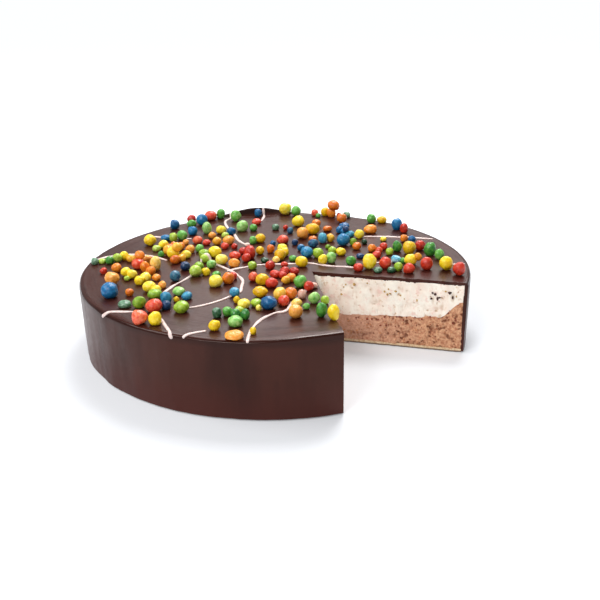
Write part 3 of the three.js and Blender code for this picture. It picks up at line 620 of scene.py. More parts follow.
def glaze_finish():
    """Satin dark chocolate: two browns in broad patches, upright streaks down the side with a lighter
    tone that is painted reflection, streaks on the top that follow the rim and fade towards the
    middle, a foot made lighter by painted light from the floor, and painted shade right under the
    rim and on the raised lip. It is smoother on the rim and duller on the streaks."""
    material, tree, shader = new_material("chocolate_glaze_finish")
    upright = grain(tree, 22, stretch=(1, 1, 0.06))
    ring = rings(tree, 3.2, 14)
    parts = axis_parts(tree, place(tree))
    height, reach = parts["Z"], from_axis(tree)[1]
    outer = between(tree, reach, *OUTER_RADII)
    streaks = sums(tree, "MULTIPLY", between(tree, ring, 0.5, 0.66), outer)
    # Mask of the painted shade right under the rim
    painted_rim_shade = sums(tree, "MULTIPLY", between(tree, height, *PAINTED_RIM_SHADE_HEIGHTS, 0, 0.6),
                     between(tree, reach, *PAINTED_RIM_SHADE_RADII))
    # Mask of the painted shade on the raised lip at the back
    lip = sums(tree, "MULTIPLY", between(tree, height, *LIP_SHADE_HEIGHTS, 0, 0.8),
               between(tree, parts["Y"], *LIP_SHADE_BEHIND))
    colour = two_tones(tree, grain(tree, 30, 4), *CHOCOLATE_TONES)
    # Painted reflection: the upright streaks are lighter in tone, along with their relief and roughness
    colour = tint(tree, colour, STREAK_SHEEN_TONE, upright, 0.5, 0.8, 0, 0.4)
    colour = tint(tree, colour, RING_TONE, sums(tree, "MULTIPLY", streaks, 0.6))
    # Painted light: lighter towards the foot, as light that the floor throws back
    colour = tint(tree, colour, FLOOR_BOUNCE_TONE, height, *FLOOR_BOUNCE_HEIGHTS, 0.45, 0)
    # Painted shade: darker right under the rim
    colour = tint(tree, colour, PAINTED_RIM_SHADE_TONE, painted_rim_shade)
    # Painted shade: darker on the shaded face of the raised lip
    colour = tint(tree, colour, LIP_SHADE_TONE, lip)
    dull = sums(tree, "ADD", between(tree, grain(tree, 3, 4), 0.3, 0.7, 0.0, 0.08),
                between(tree, upright, 0.3, 0.7, 0.26, 0.33))
    dull = sums(tree, "ADD", dull, sums(tree, "MULTIPLY", streaks, 0.12))
    smooth_rim = sums(tree, "MULTIPLY", between(tree, height, *SMOOTH_RIM_HEIGHTS, 0, 0.62),
                      between(tree, reach, *SMOOTH_RIM_RADII))
    roughness = sums(tree, "MULTIPLY", dull, sums(tree, "SUBTRACT", 1.0, smooth_rim))
    coat(tree, shader, colour, roughness, GLAZE_IOR)
    shader.inputs["Specular Tint"].default_value = GLAZE_TINT
    fine = relief(tree, shader, grain(tree, 1.6, 4), 0.012)
    fine = relief(tree, shader, sums(tree, "MULTIPLY", ring, outer), 0.2, fine)
    relief(tree, shader, upright, 0.12, fine)
    return material


def cream_finish():
    """Whipped cream: off-white with warm and pinkish patches, tan stains, and painted shade that
    darkens its pits.
    """
    material, tree, shader = new_material("cream_finish")
    colour = two_tones(tree, grain(tree, 9, 4, 0.6, (1, 1, 0.5)), *CREAM_TONES, 0.4, 0.6)
    colour = tint(tree, colour, PINK_TONE, grain(tree, 5, 4, 0.65), 0.54, 0.68, 0, 0.85)
    colour = tint(tree, colour, STAIN_TONE, grain(tree, 3, 4, 0.7, (1, 1, 0.7)), 0.6, 0.7, 0, 0.8)
    # Painted shade: darker in the pits, by their depth
    colour = tint(tree, colour, CREAM_PIT_SHADE_TONE, mark(tree, "pit_shade"), *PIT_SHADE_SPREAD)
    coat(tree, shader, colour, CREAM_ROUGHNESS, FILLING_IOR)
    relief(tree, shader, grain(tree, 0.9, 4, 0.6), 0.25)
    return material


def sponge_finish():
    """Moist chocolate sponge: pinkish brown and smoother by the tip, tan and crumbly further out,
    with pale crumbs, and painted shade that darkens its pits."""
    material, tree, shader = new_material("sponge_finish")
    crumbs = grain(tree, 1.7, 4, 0.65)
    near = two_tones(tree, crumbs, *SPONGE_TIP_TONES)
    far = two_tones(tree, crumbs, *SPONGE_OUTER_TONES, 0.38, 0.62)
    colour = blend(tree, between(tree, mark(tree, "outward"), 0.15, 0.6), near, far)
    colour = tint(tree, colour, RUSTY_TONE, grain(tree, 4.5, 4, 0.65), 0.58, 0.7, 0, 0.5)
    # Painted shade: darker in the pits, by their depth
    colour = tint(tree, colour, SPONGE_PIT_SHADE_TONE, mark(tree, "pit_shade"), *PIT_SHADE_SPREAD)
    coat(tree, shader, colour, SPONGE_ROUGHNESS, FILLING_IOR)
    relief(tree, shader, grain(tree, 0.8, 4, 0.7), 0.35)
    return material


def bit_finish(name, first, second):
    """A small piece of something baked or broken, in two tones."""
    material, tree, shader = new_material(name)
    coat(tree, shader, two_tones(tree, grain(tree, 1.1, 3, 0.6), first, second), BIT_ROUGHNESS)
    relief(tree, shader, grain(tree, 0.5, 3, 0.6), 0.15)
    return material


def biscuit_finish():
    """Thin biscuit: pale beige, with painted shade along its underside."""
    material, tree, shader = new_material("biscuit_finish")
    crumbs = grain(tree, 1.2, 4, 0.6)
    # Painted shade: darker along the underside, where it meets the floor
    colour = tint(tree, two_tones(tree, crumbs, *BISCUIT_TONES), UNDERSIDE_SHADE_TONE,
                  axis_parts(tree, place(tree))["Z"], *UNDERSIDE_SHADE_HEIGHTS, 1, 0)
    coat(tree, shader, colour, BISCUIT_ROUGHNESS)
    relief(tree, shader, crumbs, 0.3)
    return material


def candy_finish(name, darker, usual, lighter):
    """Sugar coating: each candy has its own shade, mottled a little, with a soft gloss."""
    material, tree, shader = new_material(name)
    mottle = between(tree, grain(tree, 2.2), 0.3, 0.7, -0.3, 0.3)
    mixed = sums(tree, "ADD", mark(tree, "shade"), mottle)
    colour = tint(tree, two_tones(tree, mixed, darker, usual, 0, 0.5), lighter, mixed, 0.6, 1.05)
    coat(tree, shader, colour, between(tree, grain(tree, 1.2), 0.3, 0.7, 0.26, 0.42), CANDY_IOR)
    knobs = relief(tree, shader, grain(tree, 2.4, 1), 0.6)
    relief(tree, shader, grain(tree, 0.9), 0.1, knobs)
    return material


def drizzle_finish():
    """White icing with a pinkish cast."""
    material, tree, shader = new_material("drizzle_finish")
    coat(tree, shader, two_tones(tree, grain(tree, 3), *DRIZZLE_TONES), DRIZZLE_ROUGHNESS)
    relief(tree, shader, grain(tree, 1.1), 0.08)
    return material


# Camera, light and floor

CAMERA_BACK, CAMERA_UP = 516.0, 222.0
CAMERA_YAW, CAMERA_PITCH, CAMERA_ROLL = math.radians(1.77), math.radians(21.31), math.radians(-1.03)
CAMERA_SENSOR, CAMERA_LENS, CAMERA_RANGE = 36.0, 48.0, (0.01, 200)
# Softboxes: azimuth clockwise from straight behind the cake in the front view, elevation, distance
# in metres, brightness of the face next to 1 for a white that just clips, width and height in metres
SOFTBOXES = {
    "back_panel": (14, 41, 1.7, 2.8, 1.5, 1.15),
    "key_softbox": (16, 62, 1.3, 15.0, 0.5, 0.5),
    "left_softbox": (-85, 50, 1.4, 5.4, 0.6, 0.6),
    "front_softbox": (-145, 44, 1.4, 9.0, 0.6, 0.6),
}
SURROUNDING_LIGHT = 0.36
FLOOR_HALF_WIDTH, FLOOR_LEVEL = 90000.0, -0.3
FLOOR_TONES, FLOOR_PATCHES, FLOOR_GLOSS = ((212, 213, 216), (208, 210, 214)), 80, 0.1
# Light that comes through the floor: its tint, where it grows, in metres, and from how much to how much
FLOOR_GLOW_TINT, FLOOR_GLOW_RADII, FLOOR_GLOW = (0.94, 0.97, 1, 1), (0.22, 0.7), (0.2, 0.8)


def make_camera():
    """A camera with the view measured from the round rim and foot."""
    forward = Vector((math.sin(CAMERA_YAW) * math.cos(CAMERA_PITCH),
                      math.cos(CAMERA_YAW) * math.cos(CAMERA_PITCH), -math.sin(CAMERA_PITCH)))
    right = Vector((math.cos(CAMERA_YAW), -math.sin(CAMERA_YAW), 0))
    up = right.cross(forward)
    rolled_right = math.cos(CAMERA_ROLL) * right + math.sin(CAMERA_ROLL) * up
    rolled_up = -math.sin(CAMERA_ROLL) * right + math.cos(CAMERA_ROLL) * up
    facing = Matrix((rolled_right, rolled_up, -forward)).transposed().to_4x4()
    facing.translation = Vector((0, -CAMERA_BACK, CAMERA_UP)) * MM
    lens = bpy.data.cameras.new("camera")
    lens.sensor_width, lens.lens = CAMERA_SENSOR, CAMERA_LENS
    lens.clip_start, lens.clip_end = CAMERA_RANGE
    camera = add_object("camera", lens)
    camera.matrix_world = Matrix.Rotation(FRONT_VIEW_TURN, 4, "Z") @ facing
    bpy.context.scene.camera = camera


def make_light(name, azimuth, elevation, distance, brightness, width, height):
    """A softbox that faces the cake."""
    lamp = bpy.data.lights.new(name, "AREA")
    lamp.shape, lamp.size, lamp.size_y = "RECTANGLE", width, height
    lamp.energy = brightness * math.pi * width * height
    turn = math.pi / 2 + FRONT_VIEW_TURN - math.radians(azimuth)
    lean = math.radians(elevation)
    toward = Vector((math.cos(turn) * math.cos(lean), math.sin(turn) * math.cos(lean), math.sin(lean)))
    light = add_object(name, lamp)
    light.location = toward * distance
    light.rotation_euler = (-toward).to_track_quat("-Z", "Y").to_euler()


def floor_finish():
    """A pale translucent sheet with a little light from below, and more of it further off."""
    material, tree, shader = new_material("floor_finish")
    patches = grain(tree, FLOOR_PATCHES, 2)
    coat(tree, shader, blend(tree, patches, *[tone(*shade) for shade in FLOOR_TONES]), FLOOR_ROUGHNESS)
    shader.inputs["Specular IOR Level"].default_value = FLOOR_GLOSS
    shader.inputs["Emission Color"].default_value = FLOOR_GLOW_TINT
    glow = between(tree, from_axis(tree)[1], *FLOOR_GLOW_RADII, *FLOOR_GLOW)
    put(tree, shader.inputs["Emission Strength"], glow)
    return material


def make_surroundings():
    """Dim white surroundings, four softboxes and a pale floor just under the cake."""
    world = bpy.data.worlds.new("surroundings")
    world.use_nodes = True
    background = world.node_tree.nodes["Background"]
    background.inputs["Color"].default_value = (1, 1, 1, 1)
    background.inputs["Strength"].default_value = SURROUNDING_LIGHT
    bpy.context.scene.world = world
    for name, settings in SOFTBOXES.items():
        make_light(name, *settings)
    mesh = bpy.data.meshes.new("floor")
    corners = [(x * FLOOR_HALF_WIDTH, y * FLOOR_HALF_WIDTH, FLOOR_LEVEL)
               for x, y in ((-1, -1), (1, -1), (1, 1), (-1, 1))]
    mesh.from_pydata(np.array(corners) * MM, [], [(0, 1, 2, 3)])
    mesh.materials.append(floor_finish())
    add_object("floor", mesh)
    bpy.context.scene.view_settings.view_transform = "Standard"


# Glaze

# Rows and columns of the glaze's grids. Of the way from the middle of the plan, the top's fine rows
# at the rim end at the first share, and its other rows start at the second
SIDE_ROWS, RIM_ROWS, ARC_COLUMNS = 32, 10, 300
TOP_ROWS, TOP_RIM_ROWS, UNDERSIDE_ROWS, CUT_COLUMNS = 40, 12, 10, 6
TOP_RIM_SHARE, TOP_SHARE = 0.95, 0.93
# The top's outermost row lies this much lower, and the glaze's cut edge is even over this share of
# the cut at its ends
EDGE_DIP, EVEN_END = 0.12, 0.03
# Bulges and ripples of the wall are drawn out upright, and start this far under the top
BULGE_HEIGHT_SHARE, RIPPLE_HEIGHT_SHARE, BULGE_START = 0.12, 0.2, 4
GLAZE_SHARP, FILLING_SHARP = 42, 60


def glaze_piece():
    """The glaze as one skin over the top and side. Its outside is a grid from the rim in to the
    middle and a grid down the rounded rim and side. Its inside repeats them one thickness further
    in, and strips along the foot and the cuts join the two."""
    cut_count = int(cut_length(CAKE_RADIUS, -1) / CUT_GRID)
    share = np.linspace(0, 1, ARC_COLUMNS)
    plain = arc_points(share, np.full(ARC_COLUMNS, CAKE_RADIUS))
    rim_width, rim_drop = rim_shape(plain[:, 0], plain[:, 1])
    rim_radius = CAKE_RADIUS - rim_width

    edge, sides = outline(rim_radius, cut_count, ARC_COLUMNS)
    inner_edge, _ = outline(GLAZE_INNER_RADIUS, cut_count, ARC_COLUMNS)
    from_tip = np.linspace(0, 1, cut_count)
    along = np.concatenate([from_tip, np.ones(ARC_COLUMNS - 2), from_tip[::-1]])
    loose = smooth_step(along, 0, EVEN_END) * smooth_step(1 - along, 0, EVEN_END)
    edge = edge + off_the_cut(sides) * (loose * uneven("cut glaze edge", edge[:, 0], edge[:, 1]))[:, None]

    # Top and underside: straight lines from the outline to the middle of the plan
    steps = np.concatenate([np.linspace(1, TOP_RIM_SHARE, TOP_RIM_ROWS), np.linspace(TOP_SHARE, 0, TOP_ROWS)])
    plan = CAKE_MIDDLE + (edge - CAKE_MIDDLE) * steps[:, None, None]
    top = np.dstack([plan, glaze_top(plan[..., 0], plan[..., 1])])
    top[0, :, 2] -= EDGE_DIP
    steps = np.linspace(1, 0, UNDERSIDE_ROWS)
    plan = CAKE_MIDDLE + (inner_edge - CAKE_MIDDLE) * steps[:, None, None]
    under = np.dstack([plan, glaze_underside(plan[..., 0], plan[..., 1])])

    # Rounded rim, then the side down to the foot
    arch = np.linspace(math.pi / 2, 0, RIM_ROWS)[:, None]
    radii = rim_radius + rim_width * np.cos(arch)
    heights = CAKE_HEIGHT - rim_drop + rim_drop * np.sin(arch)
    fall = np.linspace(0, 1, SIDE_ROWS - RIM_ROWS + 1)[1:, None]
    radii = np.concatenate([radii, CAKE_RADIUS + (FOOT_RADIUS - CAKE_RADIUS) * fall + 0 * share])
    heights = np.concatenate([heights, (CAKE_HEIGHT - rim_drop) * (1 - fall) + GLAZE_FOOT * fall])
    bulge = uneven("wall bulges", plain[:, 0], plain[:, 1], heights * BULGE_HEIGHT_SHARE)
    bulge = bulge + uneven("wall ripples", plain[:, 0], plain[:, 1], heights * RIPPLE_HEIGHT_SHARE)
    radii = radii + bulge * smooth_step(CAKE_HEIGHT - heights, 0, BULGE_START)
    rim_plan = arc_points(share, rim_radius)
    lift = glaze_top(rim_plan[:, 0], rim_plan[:, 1]) - CAKE_HEIGHT
    lift = lift * np.clip(heights / (CAKE_HEIGHT - rim_drop), 0, 1)
    wall = np.dstack([arc_points(share, radii), heights + lift])
    arc_top = slice(cut_count - 1, cut_count - 1 + ARC_COLUMNS)
    wall[0] = top[0, arc_top]
    inner_heights = np.linspace(CAKE_HEIGHT - GLAZE_THICKNESS, GLAZE_FOOT, SIDE_ROWS)[:, None]
    inner_plan = arc_points(share, np.full((SIDE_ROWS, ARC_COLUMNS), GLAZE_INNER_RADIUS))
    inner_wall = np.dstack([inner_plan, inner_heights + 0 * share])
    inner_wall[0] = under[0, arc_top]

    def strip(outer_top, inner_top, column, side, order):
        """The cut face of the glaze, from the foot up to the rim and in to the tip. It swells a
        little in its middle."""
        outer = np.concatenate([wall[::-1, column][:-1], outer_top[::order]])
        inner = np.concatenate([inner_wall[::-1, column][:-1], inner_top[::order]])
        across = np.linspace(0, 1, CUT_COLUMNS)[:, None, None]
        rows = outer + (inner - outer) * across
        swell = np.sin(np.pi * across[..., 0]) * uneven("cut glaze", rows[..., 0], rows[..., 1], rows[..., 2])
        rows[..., :2] -= cut_inward(side) * swell[..., None]
        return rows

    grids = [top, under, wall, inner_wall, np.stack([wall[-1], inner_wall[-1]]),
             strip(top[0, :cut_count], under[0, :cut_count], 0, -1, -1),
             strip(top[0, -cut_count:], under[0, -cut_count:], -1, 1, 1)]
    return make_piece("chocolate_glaze_skin", grids, glaze_finish(), "chocolate_glaze", GLAZE_SHARP)


# Fillings

# Pits in a cut face lie within this distance of the tip, and are bowls with this steepness
PIT_REACH, PIT_STEEPNESS = 104, 1.5
# Their number, how even they lie from the tip out (1 is even, and less is more of them further out),
# and the least and most of their height in the cake, their radius and their depth
SPONGE_PITS = 300, 0.8, (2, 34), (0.4, 1.5), (0.25, 1.1)
CREAM_PITS = 110, 1, (20, 46), (0.35, 1.2), (0.2, 0.9)
# The sponge is smoother by the tip, by this share, and fully crumbly past these distances from it
SPONGE_SMOOTHEST, SPONGE_CRUMBLY_FROM = 0.35, (15, 60)
# How far the sponge's face lies back and the biscuit's stands out, and the drag marks' upright stretch
SPONGE_SET_BACK, BISCUIT_OUT, DRAG_HEIGHT_SHARE = 0.1, 0.15, 0.14
# Faces are even this near the tip, and a pit this deep has its full painted shade
EVEN_TIP, FULL_PIT_SHADE = 1.2, 0.8
BASE_ROWS, SPONGE_ROWS, CREAM_ROWS, LAYER_ARC_COLUMNS = 8, 60, 52, 90
BASE_SEED, SPONGE_SEED, CREAM_SEED = 1, 3, 12
# Rows of a filling's flat caps, as shares of the way from the middle of the plan
CAP_STEPS = np.array([1, 0.985, 0.95, 0.85, 0.7, 0.5, 0.25, 0])[:, None, None]


def pit_depth(along, height, kind, seed):
    """Depth of pits in a cut face: each is a bowl, deepest in its middle, with a crooked edge. Their
    places, radii and depths are drawn evenly between their limits."""
    count, evenness, *limits = kind
    draw = np.random.default_rng(seed)
    columns = [PIT_REACH * draw.uniform(0, 1, count) ** evenness]
    columns += [draw.uniform(*ends, count) for ends in limits]
    bent_along = along + uneven("pits along", along, height)
    bent_height = height + uneven("pits upright", along, height)
    depth = np.zeros_like(along)
    for pit_along, pit_height, radius, deep in zip(*columns):
        away = (bent_along - pit_along) ** 2 + (bent_height - pit_height) ** 2
        depth = np.maximum(depth, deep * np.clip(1 - away / radius ** 2, 0, 1) ** PIT_STEEPNESS)
    return depth


def sponge_relief(along, height, x, y, seed):
    """Crumbly cut, a little set back: lumps and grains less many pits, all stronger further out."""
    crumbly = SPONGE_SMOOTHEST + (1 - SPONGE_SMOOTHEST) * smooth_step(along, *SPONGE_CRUMBLY_FROM)
    lumps = uneven("sponge lumps", x, y, height) + uneven("sponge grains", x, y, height)
    return crumbly * (lumps - pit_depth(along, height, SPONGE_PITS, seed)) - SPONGE_SET_BACK


def cream_relief(along, height, x, y, seed):
    """Cut cream: soft lumps, drag marks that the knife left on its way down, and small pits."""
    lumps = uneven("cream lumps", x, y, height)
    drags = uneven("cream drags", x, y, height * DRAG_HEIGHT_SHARE)
    return lumps + drags - pit_depth(along, height, CREAM_PITS, seed)


def biscuit_relief(along, height, x, y, seed):
    """Broken biscuit edge: grains and small lumps, a little out of the cut."""
    return uneven("biscuit grains", x, y, height, seed) + BISCUIT_OUT


def layer_piece(name, floor_height, ceiling_height, rows, face_relief, material, replaced, seed):
    """A filling as one closed body: the cake's outline as a wall between its floor and its
    ceiling, fine and uneven on the two cut faces, and flat caps drawn in to the middle."""
    radius = GLAZE_INNER_RADIUS + BEDDING
    edge, sides = outline(radius, int(cut_length(radius, -1) / CUT_GRID), LAYER_ARC_COLUMNS)
    x, y = edge[:, 0], edge[:, 1]
    low, high = floor_height(x, y), ceiling_height(x, y)
    heights = low + (high - low) * np.linspace(0, 1, rows)[:, None]
    from_tip = np.hypot(x - CUT_TIP[0], y - CUT_TIP[1]) + 0 * heights
    out = np.zeros_like(heights)
    for side in (-1, 1):
        on = sides == side
        out[:, on] = face_relief(from_tip[:, on], heights[:, on], x[on] + 0 * heights[:, on],
                                 y[on] + 0 * heights[:, on], seed + side)
    out = out * (smooth_step(from_tip, 0, EVEN_TIP) * (sides != 0))
    plan = edge + off_the_cut(sides) * out[..., None]
    wall = np.dstack([plan, heights])
    caps = []
    for row, height_at in ((0, floor_height), (-1, ceiling_height)):
        cap_plan = CAKE_MIDDLE + (plan[row] - CAKE_MIDDLE) * CAP_STEPS
        cap = np.dstack([cap_plan, height_at(cap_plan[..., 0], cap_plan[..., 1])])
        cap[0] = wall[row]
        caps.append(cap)
    grids = [wall, *caps]
    # Depth of each point's pit, which sets the painted shade in the pits
    pit_shade = np.clip(-out / FULL_PIT_SHADE, 0, 1).ravel()
    pit_shade = np.concatenate([pit_shade, *[np.zeros(cap[..., 0].size) for cap in caps]])
    outward = [grid[..., :2].reshape(-1, 2) - CUT_TIP for grid in grids]
    far = np.concatenate([np.hypot(part[:, 0], part[:, 1]) for part in outward]) / radius
    return make_piece(name, grids, material, replaced, FILLING_SHARP,
                      {"pit_shade": pit_shade, "outward": far})


def level(height):
    """A surface that has the same height everywhere."""
    return lambda x, y: height + 0 * x


def make_fillings():
    """Biscuit base, sponge and cream, each a little into the next."""
    layer_piece("biscuit_base_broken", level(0), lambda x, y: BASE_THICKNESS + uneven("biscuit top", x, y),
                BASE_ROWS, biscuit_relief, biscuit_finish(), "biscuit_base", BASE_SEED)
    layer_piece("chocolate_sponge_cut", level(BASE_THICKNESS - BEDDING),
                lambda x, y: sponge_top(x, y) + BEDDING / 2,
                SPONGE_ROWS, sponge_relief, sponge_finish(), "chocolate_sponge", SPONGE_SEED)
    layer_piece("cream_filling_cut", lambda x, y: sponge_top(x, y) - BEDDING / 2,
                lambda x, y: glaze_underside(x, y) + BEDDING,
                CREAM_ROWS, cream_relief, cream_finish(), "cream_filling", CREAM_SEED)


BIT_ROWS, BIT_COLUMNS = 6, 8
# Least and most of a bit's three sizes against its own, the share of its radius by which its middle
# is out of the cut, how clear it stays of the floor, and the shift in the noise from bit to bit
BIT_STRETCH, BIT_OUT, BIT_CLEARANCE, BIT_SHIFT = (0.7, 1.3), 0.1, 0.2, 13.1
# Each kind of bit on the two cut faces: how many a face, least and most size, the stretch of the cut
# that it keeps to as shares of its length, how far up the layer, from its floor to its top, its two
# tones, its slot and its seed
BITS = {
    "nut_bits": (15, (1.0, 2.0), (0.2, 0.97), (0.35, 0.9), ((196, 160, 84), (160, 122, 66)), "cream", 211),
    "dark_chips": (8, (1.1, 2.1), (0.8, 0.97), (0.45, 0.85), ((50, 26, 22), (74, 42, 32)), "glaze", 223),
    "sponge_crumbs": (130, (0.5, 1.3), (0.15, 0.98), (0.04, 0.95), ((206, 150, 108), (176, 112, 74)),
                      "sponge", 227),
    "rusty_crumbs": (34, (0.6, 1.5), (0.3, 0.98), (0.6, 1.02), ((150, 68, 40), (116, 52, 34)), "sponge", 229),
}


def bits_piece(name, low_at, high_at):
    """Small lumps that show at the cuts, each uneven in its three sizes and about half out of the face."""
    count, sizes, stretch, band, tones, slot, seed = BITS[name]
    draw = np.random.default_rng(seed)
    lumps = []
    for side in (-1, 1):
        along = float(cut_length(GLAZE_INNER_RADIUS - 1, side)) * draw.uniform(*stretch, count)
        size = draw.uniform(*sizes, count) / 2
        plan = CUT_TIP + cut_direction(side) * along[:, None] - cut_inward(side) * (BIT_OUT * size)[:, None]
        low, high = low_at(plan[:, 0], plan[:, 1]), high_at(plan[:, 0], plan[:, 1])
        height = low + (high - low) * draw.uniform(*band, count)
        height = np.clip(height, size + BIT_CLEARANCE, CAKE_HEIGHT - GLAZE_THICKNESS - size)
        halves = draw.uniform(*BIT_STRETCH, (count, 3)) * size[:, None]
        axes = np.broadcast_to([cut_direction(side), cut_inward(side)], (count, 2, 2))
        lumps += lumpy_balls("bit lumps", BIT_ROWS, BIT_COLUMNS, np.arange(count) * BIT_SHIFT, halves, axes,
                             np.column_stack([plan, height]), seed)
    return make_piece(name, lumps, bit_finish(f"{name[:-1]}_finish", *tones), closed=True)


def make_bits():
    """Bits in the cream and crumbs on the sponge."""
    for name in ("nut_bits", "dark_chips"):
        bits_piece(name, sponge_top, level(CAKE_HEIGHT - GLAZE_THICKNESS))
    for name in ("sponge_crumbs", "rusty_crumbs"):
        bits_piece(name, level(BASE_THICKNESS), sponge_top)


# Candies

def make_candies(places, draw):
    """Candies at their places, each turned a little from the front view."""
    candies = []
    for x, y, letter, width, height in places:
        radius = CANDY_FULLNESS * width / 2
        candies.append({"x": x, "y": y, "radius": radius, "depth": radius * draw(*CANDY_DEPTHS),
                        "height": CANDY_FULLNESS * height / 2,
                        "turn": FRONT_VIEW_TURN + draw(-CANDY_TWIST, CANDY_TWIST),
                        "colour": CANDY_COLOURS[letter]})
    return candies


def keep_on_top(candy):
    """Keeps a candy inside the rim and off the cut-out portion."""
    reach = math.hypot(candy["x"], candy["y"])
    if reach > CANDY_RIM_LIMIT:
        candy["x"] *= CANDY_RIM_LIMIT / reach
        candy["y"] *= CANDY_RIM_LIMIT / reach
    offset = np.array([candy["x"], candy["y"]]) - CUT_TIP
    side = -1 if offset[0] < 0 else 1
    clearance = offset @ cut_inward(side)
    if offset @ cut_direction(side) > 0 and clearance < CANDY_CUT_CLEARANCE:
        candy["x"] += cut_inward(side)[0] * (CANDY_CUT_CLEARANCE - clearance)
        candy["y"] += cut_inward(side)[1] * (CANDY_CUT_CLEARANCE - clearance)


def settle_candies(candies):
    """Pushes overlapping candies apart in plan, a little at each round."""
    for _ in range(SETTLE_ROUNDS):
        for i, a in enumerate(candies):
            for b in candies[i + 1:]:
                dx, dy = b["x"] - a["x"], b["y"] - a["y"]
                reach = CANDY_TOUCH * (a["radius"] + b["radius"])
                if abs(dx) >= reach or abs(dy) >= reach:
                    continue
                distance = math.hypot(dx, dy)
                push = (reach - distance) / 2
                if push > 0:
                    for axis, part in (("x", dx), ("y", dy)):
                        a[axis] -= part / distance * push
                        b[axis] += part / distance * push
        for candy in candies:
            keep_on_top(candy)


def rest_height(candy, below):
    """Height of a candy's middle: on the glaze, or on the candies under it."""
    height = CAKE_HEIGHT + float(lip_height(candy["x"], candy["y"])) + candy["height"] - CANDY_SINK
    for other in below:
        reach = CANDY_PILE * (candy["radius"] + other["radius"])
        distance = math.hypot(candy["x"] - other["x"], candy["y"] - other["y"])
        if distance < reach:
            height = max(height, other["z"] + math.sqrt(reach ** 2 - distance ** 2))
    return height


def all_candies():
    """Every candy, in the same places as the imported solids."""
    draw = make_random(CANDY_SEED)
    lower = make_candies(CANDY_PLACES, draw)
    piled = make_candies(PILED_PLACES, draw)
    settle_candies(lower)
    for group, below in ((lower, []), (piled, lower)):
        for candy in group:
            candy["z"] = rest_height(candy, below)
    return lower + piled


CANDY_ROWS, CANDY_COLUMNS = 11, 16
# The shift in the noise from candy to candy, and for each letter of the colour's name
CANDY_SHIFT, COLOUR_SHIFT = 17.3, 5.1
# Least and most of a candy's own shade, and the tones that it lies between: darker, usual, lighter
SHADE_LIMITS = 0.05, 0.95
CANDY_SHADES = {
    "yellow": ((222, 166, 8), (246, 212, 26), (252, 234, 104)),
    "golden": ((218, 142, 18), (246, 188, 54), (250, 216, 124)),
    "orange": ((210, 98, 16), (236, 138, 34), (244, 172, 78)),
    "red": ((170, 30, 18), (210, 60, 36), (232, 118, 74)),
    "pale": ((206, 150, 130), (236, 200, 186), (248, 228, 220)),
    "green": ((40, 118, 46), (98, 172, 66), (170, 214, 126)),
    "lime": ((108, 152, 28), (160, 192, 52), (200, 218, 110)),
    "pine": ((12, 50, 28), (34, 84, 52), (118, 156, 126)),
    "sky": ((20, 110, 150), (70, 160, 190), (170, 215, 225)),
    "blue": ((4, 78, 130), (14, 112, 164), (84, 168, 190)),
    "navy": ((10, 38, 72), (22, 60, 104), (56, 116, 140)),
}


def candy_piece(colour, candies):
    """All candies of one colour, each with a shade of its own."""
    halves = np.array([[candy[size] for size in ("radius", "depth", "height")] for candy in candies])
    middles = np.array([[candy[axis] for axis in "xyz"] for candy in candies])
    turn = np.array([candy["turn"] for candy in candies])
    axes = np.stack([np.cos(turn), np.sin(turn), -np.sin(turn), np.cos(turn)], -1).reshape(-1, 2, 2)
    shift = np.arange(len(candies)) * CANDY_SHIFT + len(colour) * COLOUR_SHIFT
    lumps = lumpy_balls("candy lumps", CANDY_ROWS, CANDY_COLUMNS, shift, halves, axes, middles)
    draw = np.random.default_rng(len(candies))
    shade = np.repeat(draw.uniform(*SHADE_LIMITS, len(candies)), CANDY_ROWS * CANDY_COLUMNS)
    finish = candy_finish(f"{colour}_candy_finish", *CANDY_SHADES[colour])
    return make_piece(f"candies_{colour}", lumps, finish, marks={"shade": shade}, closed=True)


# Drizzle

def spline(stroke, step):
    """Points along a smooth curve through a stroke's points: each stretch is a cubic, and its slope
    at a point is half the way from the point before to the point after."""
    knots = np.array(stroke, float)
    padded = np.concatenate([[2 * knots[0] - knots[1]], knots, [2 * knots[-1] - knots[-2]]])
    fine = []
    for i in range(1, len(padded) - 2):
        p, q, r, s = padded[i - 1:i + 3]
        t = np.linspace(0, 1, max(2, int(np.hypot(*(r - q)) / step)), endpoint=False)[:, None]
        fine.append(0.5 * (2 * q + (r - p) * t + (2 * p - 5 * q + 4 * r - s) * t ** 2
                           + (3 * q - p - 3 * r + s) * t ** 3))
    return np.concatenate([*fine, knots[-1:]])


def on_cake(path):
    """The surface under a path in plan: points and outward normals. Past the rim's start the plan
    distance is measured along the rounded rim, and then straight down the side."""
    reach = np.hypot(path[:, 0], path[:, 1])
    width, drop = rim_shape(path[:, 0], path[:, 1])
    beyond = np.clip(reach - (CAKE_RADIUS - width), 0, None)
    quarter = math.pi / 2 * np.sqrt((width ** 2 + drop ** 2) / 2)
    bend = np.clip(beyond / quarter, 0, 1) * math.pi / 2
    down = np.clip(beyond - quarter, 0, None)
    outward = path / reach[:, None]
    plan = outward * (np.minimum(reach, CAKE_RADIUS - width) + width * np.sin(bend))[:, None]
    height = glaze_top(plan[:, 0], plan[:, 1]) - drop * (1 - np.cos(bend)) - down
    normal = np.column_stack([outward * (np.sin(bend) / width)[:, None], np.cos(bend) / drop])
    return np.column_stack([plan, height]), normal / np.linalg.norm(normal, axis=1)[:, None]


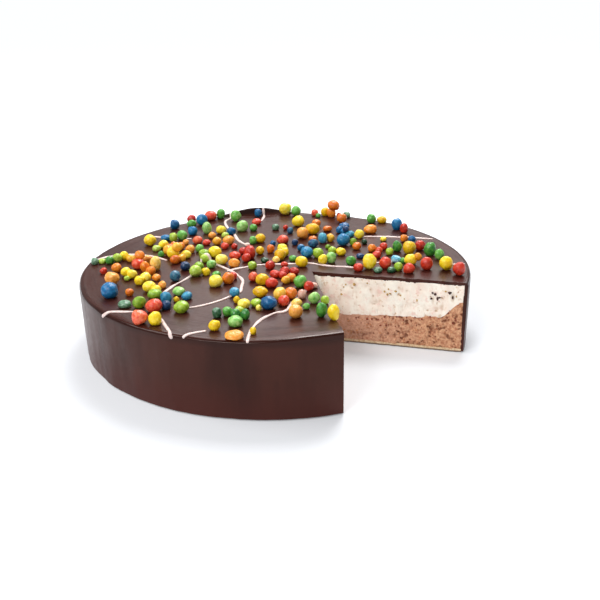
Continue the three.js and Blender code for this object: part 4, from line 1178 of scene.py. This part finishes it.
def climb(middle, candy):
    """Lifts a stroke's points to the top of an oval candy where they cross it: no steeper than the
    steepest climb, and evened out over five points."""
    dx, dy = middle[:, 0] - candy["x"], middle[:, 1] - candy["y"]
    a = (dx * math.cos(candy["turn"]) + dy * math.sin(candy["turn"])) / candy["radius"]
    b = (-dx * math.sin(candy["turn"]) + dy * math.cos(candy["turn"])) / candy["depth"]
    cap = np.sqrt(np.clip(1 - a ** 2 - b ** 2, 0, 1))
    tops = np.where(a ** 2 + b ** 2 < 1, candy["z"] + candy["height"] * cap, 0.0)
    for reach in range(1, DRIZZLE_CLIMB_POINTS + 1):
        fall = DRIZZLE_STEEPEST * DRIZZLE_STEP * reach
        tops[reach:] = np.maximum(tops[reach:], tops[:-reach] - fall)
        tops[:-reach] = np.maximum(tops[:-reach], tops[reach:] - fall)
    heights = np.pad(np.maximum(middle[:, 2], tops), 2, mode="edge")
    middle[:, 2] = np.convolve(heights, np.array([1, 2, 3, 2, 1]) / 9, mode="valid")


def drizzle_piece(candies):
    """Thin icing: an oval bead carried along each stroke, thicker and thinner by turns, with round
    ends. It lies on the glaze, folds over the rim, and is drawn over one of the candies."""
    covered = min(candies, key=lambda candy: math.dist((candy["x"], candy["y"]), DRIZZLED_PLACE))
    turn = np.linspace(0, 2 * math.pi, DRIZZLE_SIDES, endpoint=False)
    beads = []
    for number, stroke in enumerate(DRIZZLE_STROKES):
        middle, normal = on_cake(spline(stroke, DRIZZLE_STEP))
        climb(middle, covered)
        tangent = np.gradient(middle, axis=0)
        spacing = np.linalg.norm(tangent, axis=1)
        travelled = np.cumsum(spacing) - spacing[0]
        tangent /= spacing[:, None]
        from_end = np.minimum(travelled, travelled[-1] - travelled)
        thinning = DRIZZLE_THINNEST + (1 - DRIZZLE_THINNEST) * smooth_step(from_end, 0, DRIZZLE_THINNING)
        swell = 1 + uneven("drizzle swells", travelled, number * DRIZZLE_SHIFT)
        width = DRIZZLE_WIDTH / 2 * swell * thinning
        width = width * np.sqrt(np.clip(1 - (1 - np.clip(from_end / DRIZZLE_ROUNDING, 0, 1)) ** 2, 0, 1))
        thick = DRIZZLE_HEIGHT / DRIZZLE_WIDTH * width
        across = np.cross(normal, tangent)
        across /= np.linalg.norm(across, axis=1)[:, None]
        upward = np.cross(tangent, across)
        middle = middle + normal * (DRIZZLE_LIFT * thick)[:, None]
        beads.append(middle[:, None] + across[:, None] * (np.cos(turn)[None] * width[:, None])[..., None]
                     + upward[:, None] * (np.sin(turn)[None] * thick[:, None])[..., None])
    return make_piece("white_drizzle", beads, drizzle_finish(), closed=True)


# Everything in its order

make_camera()
make_surroundings()
glaze_piece()
make_fillings()
make_bits()
candies = all_candies()
for colour in CANDY_SHADES:
    candy_piece(colour, [candy for candy in candies if candy["colour"] == colour])
drizzle_piece(candies)
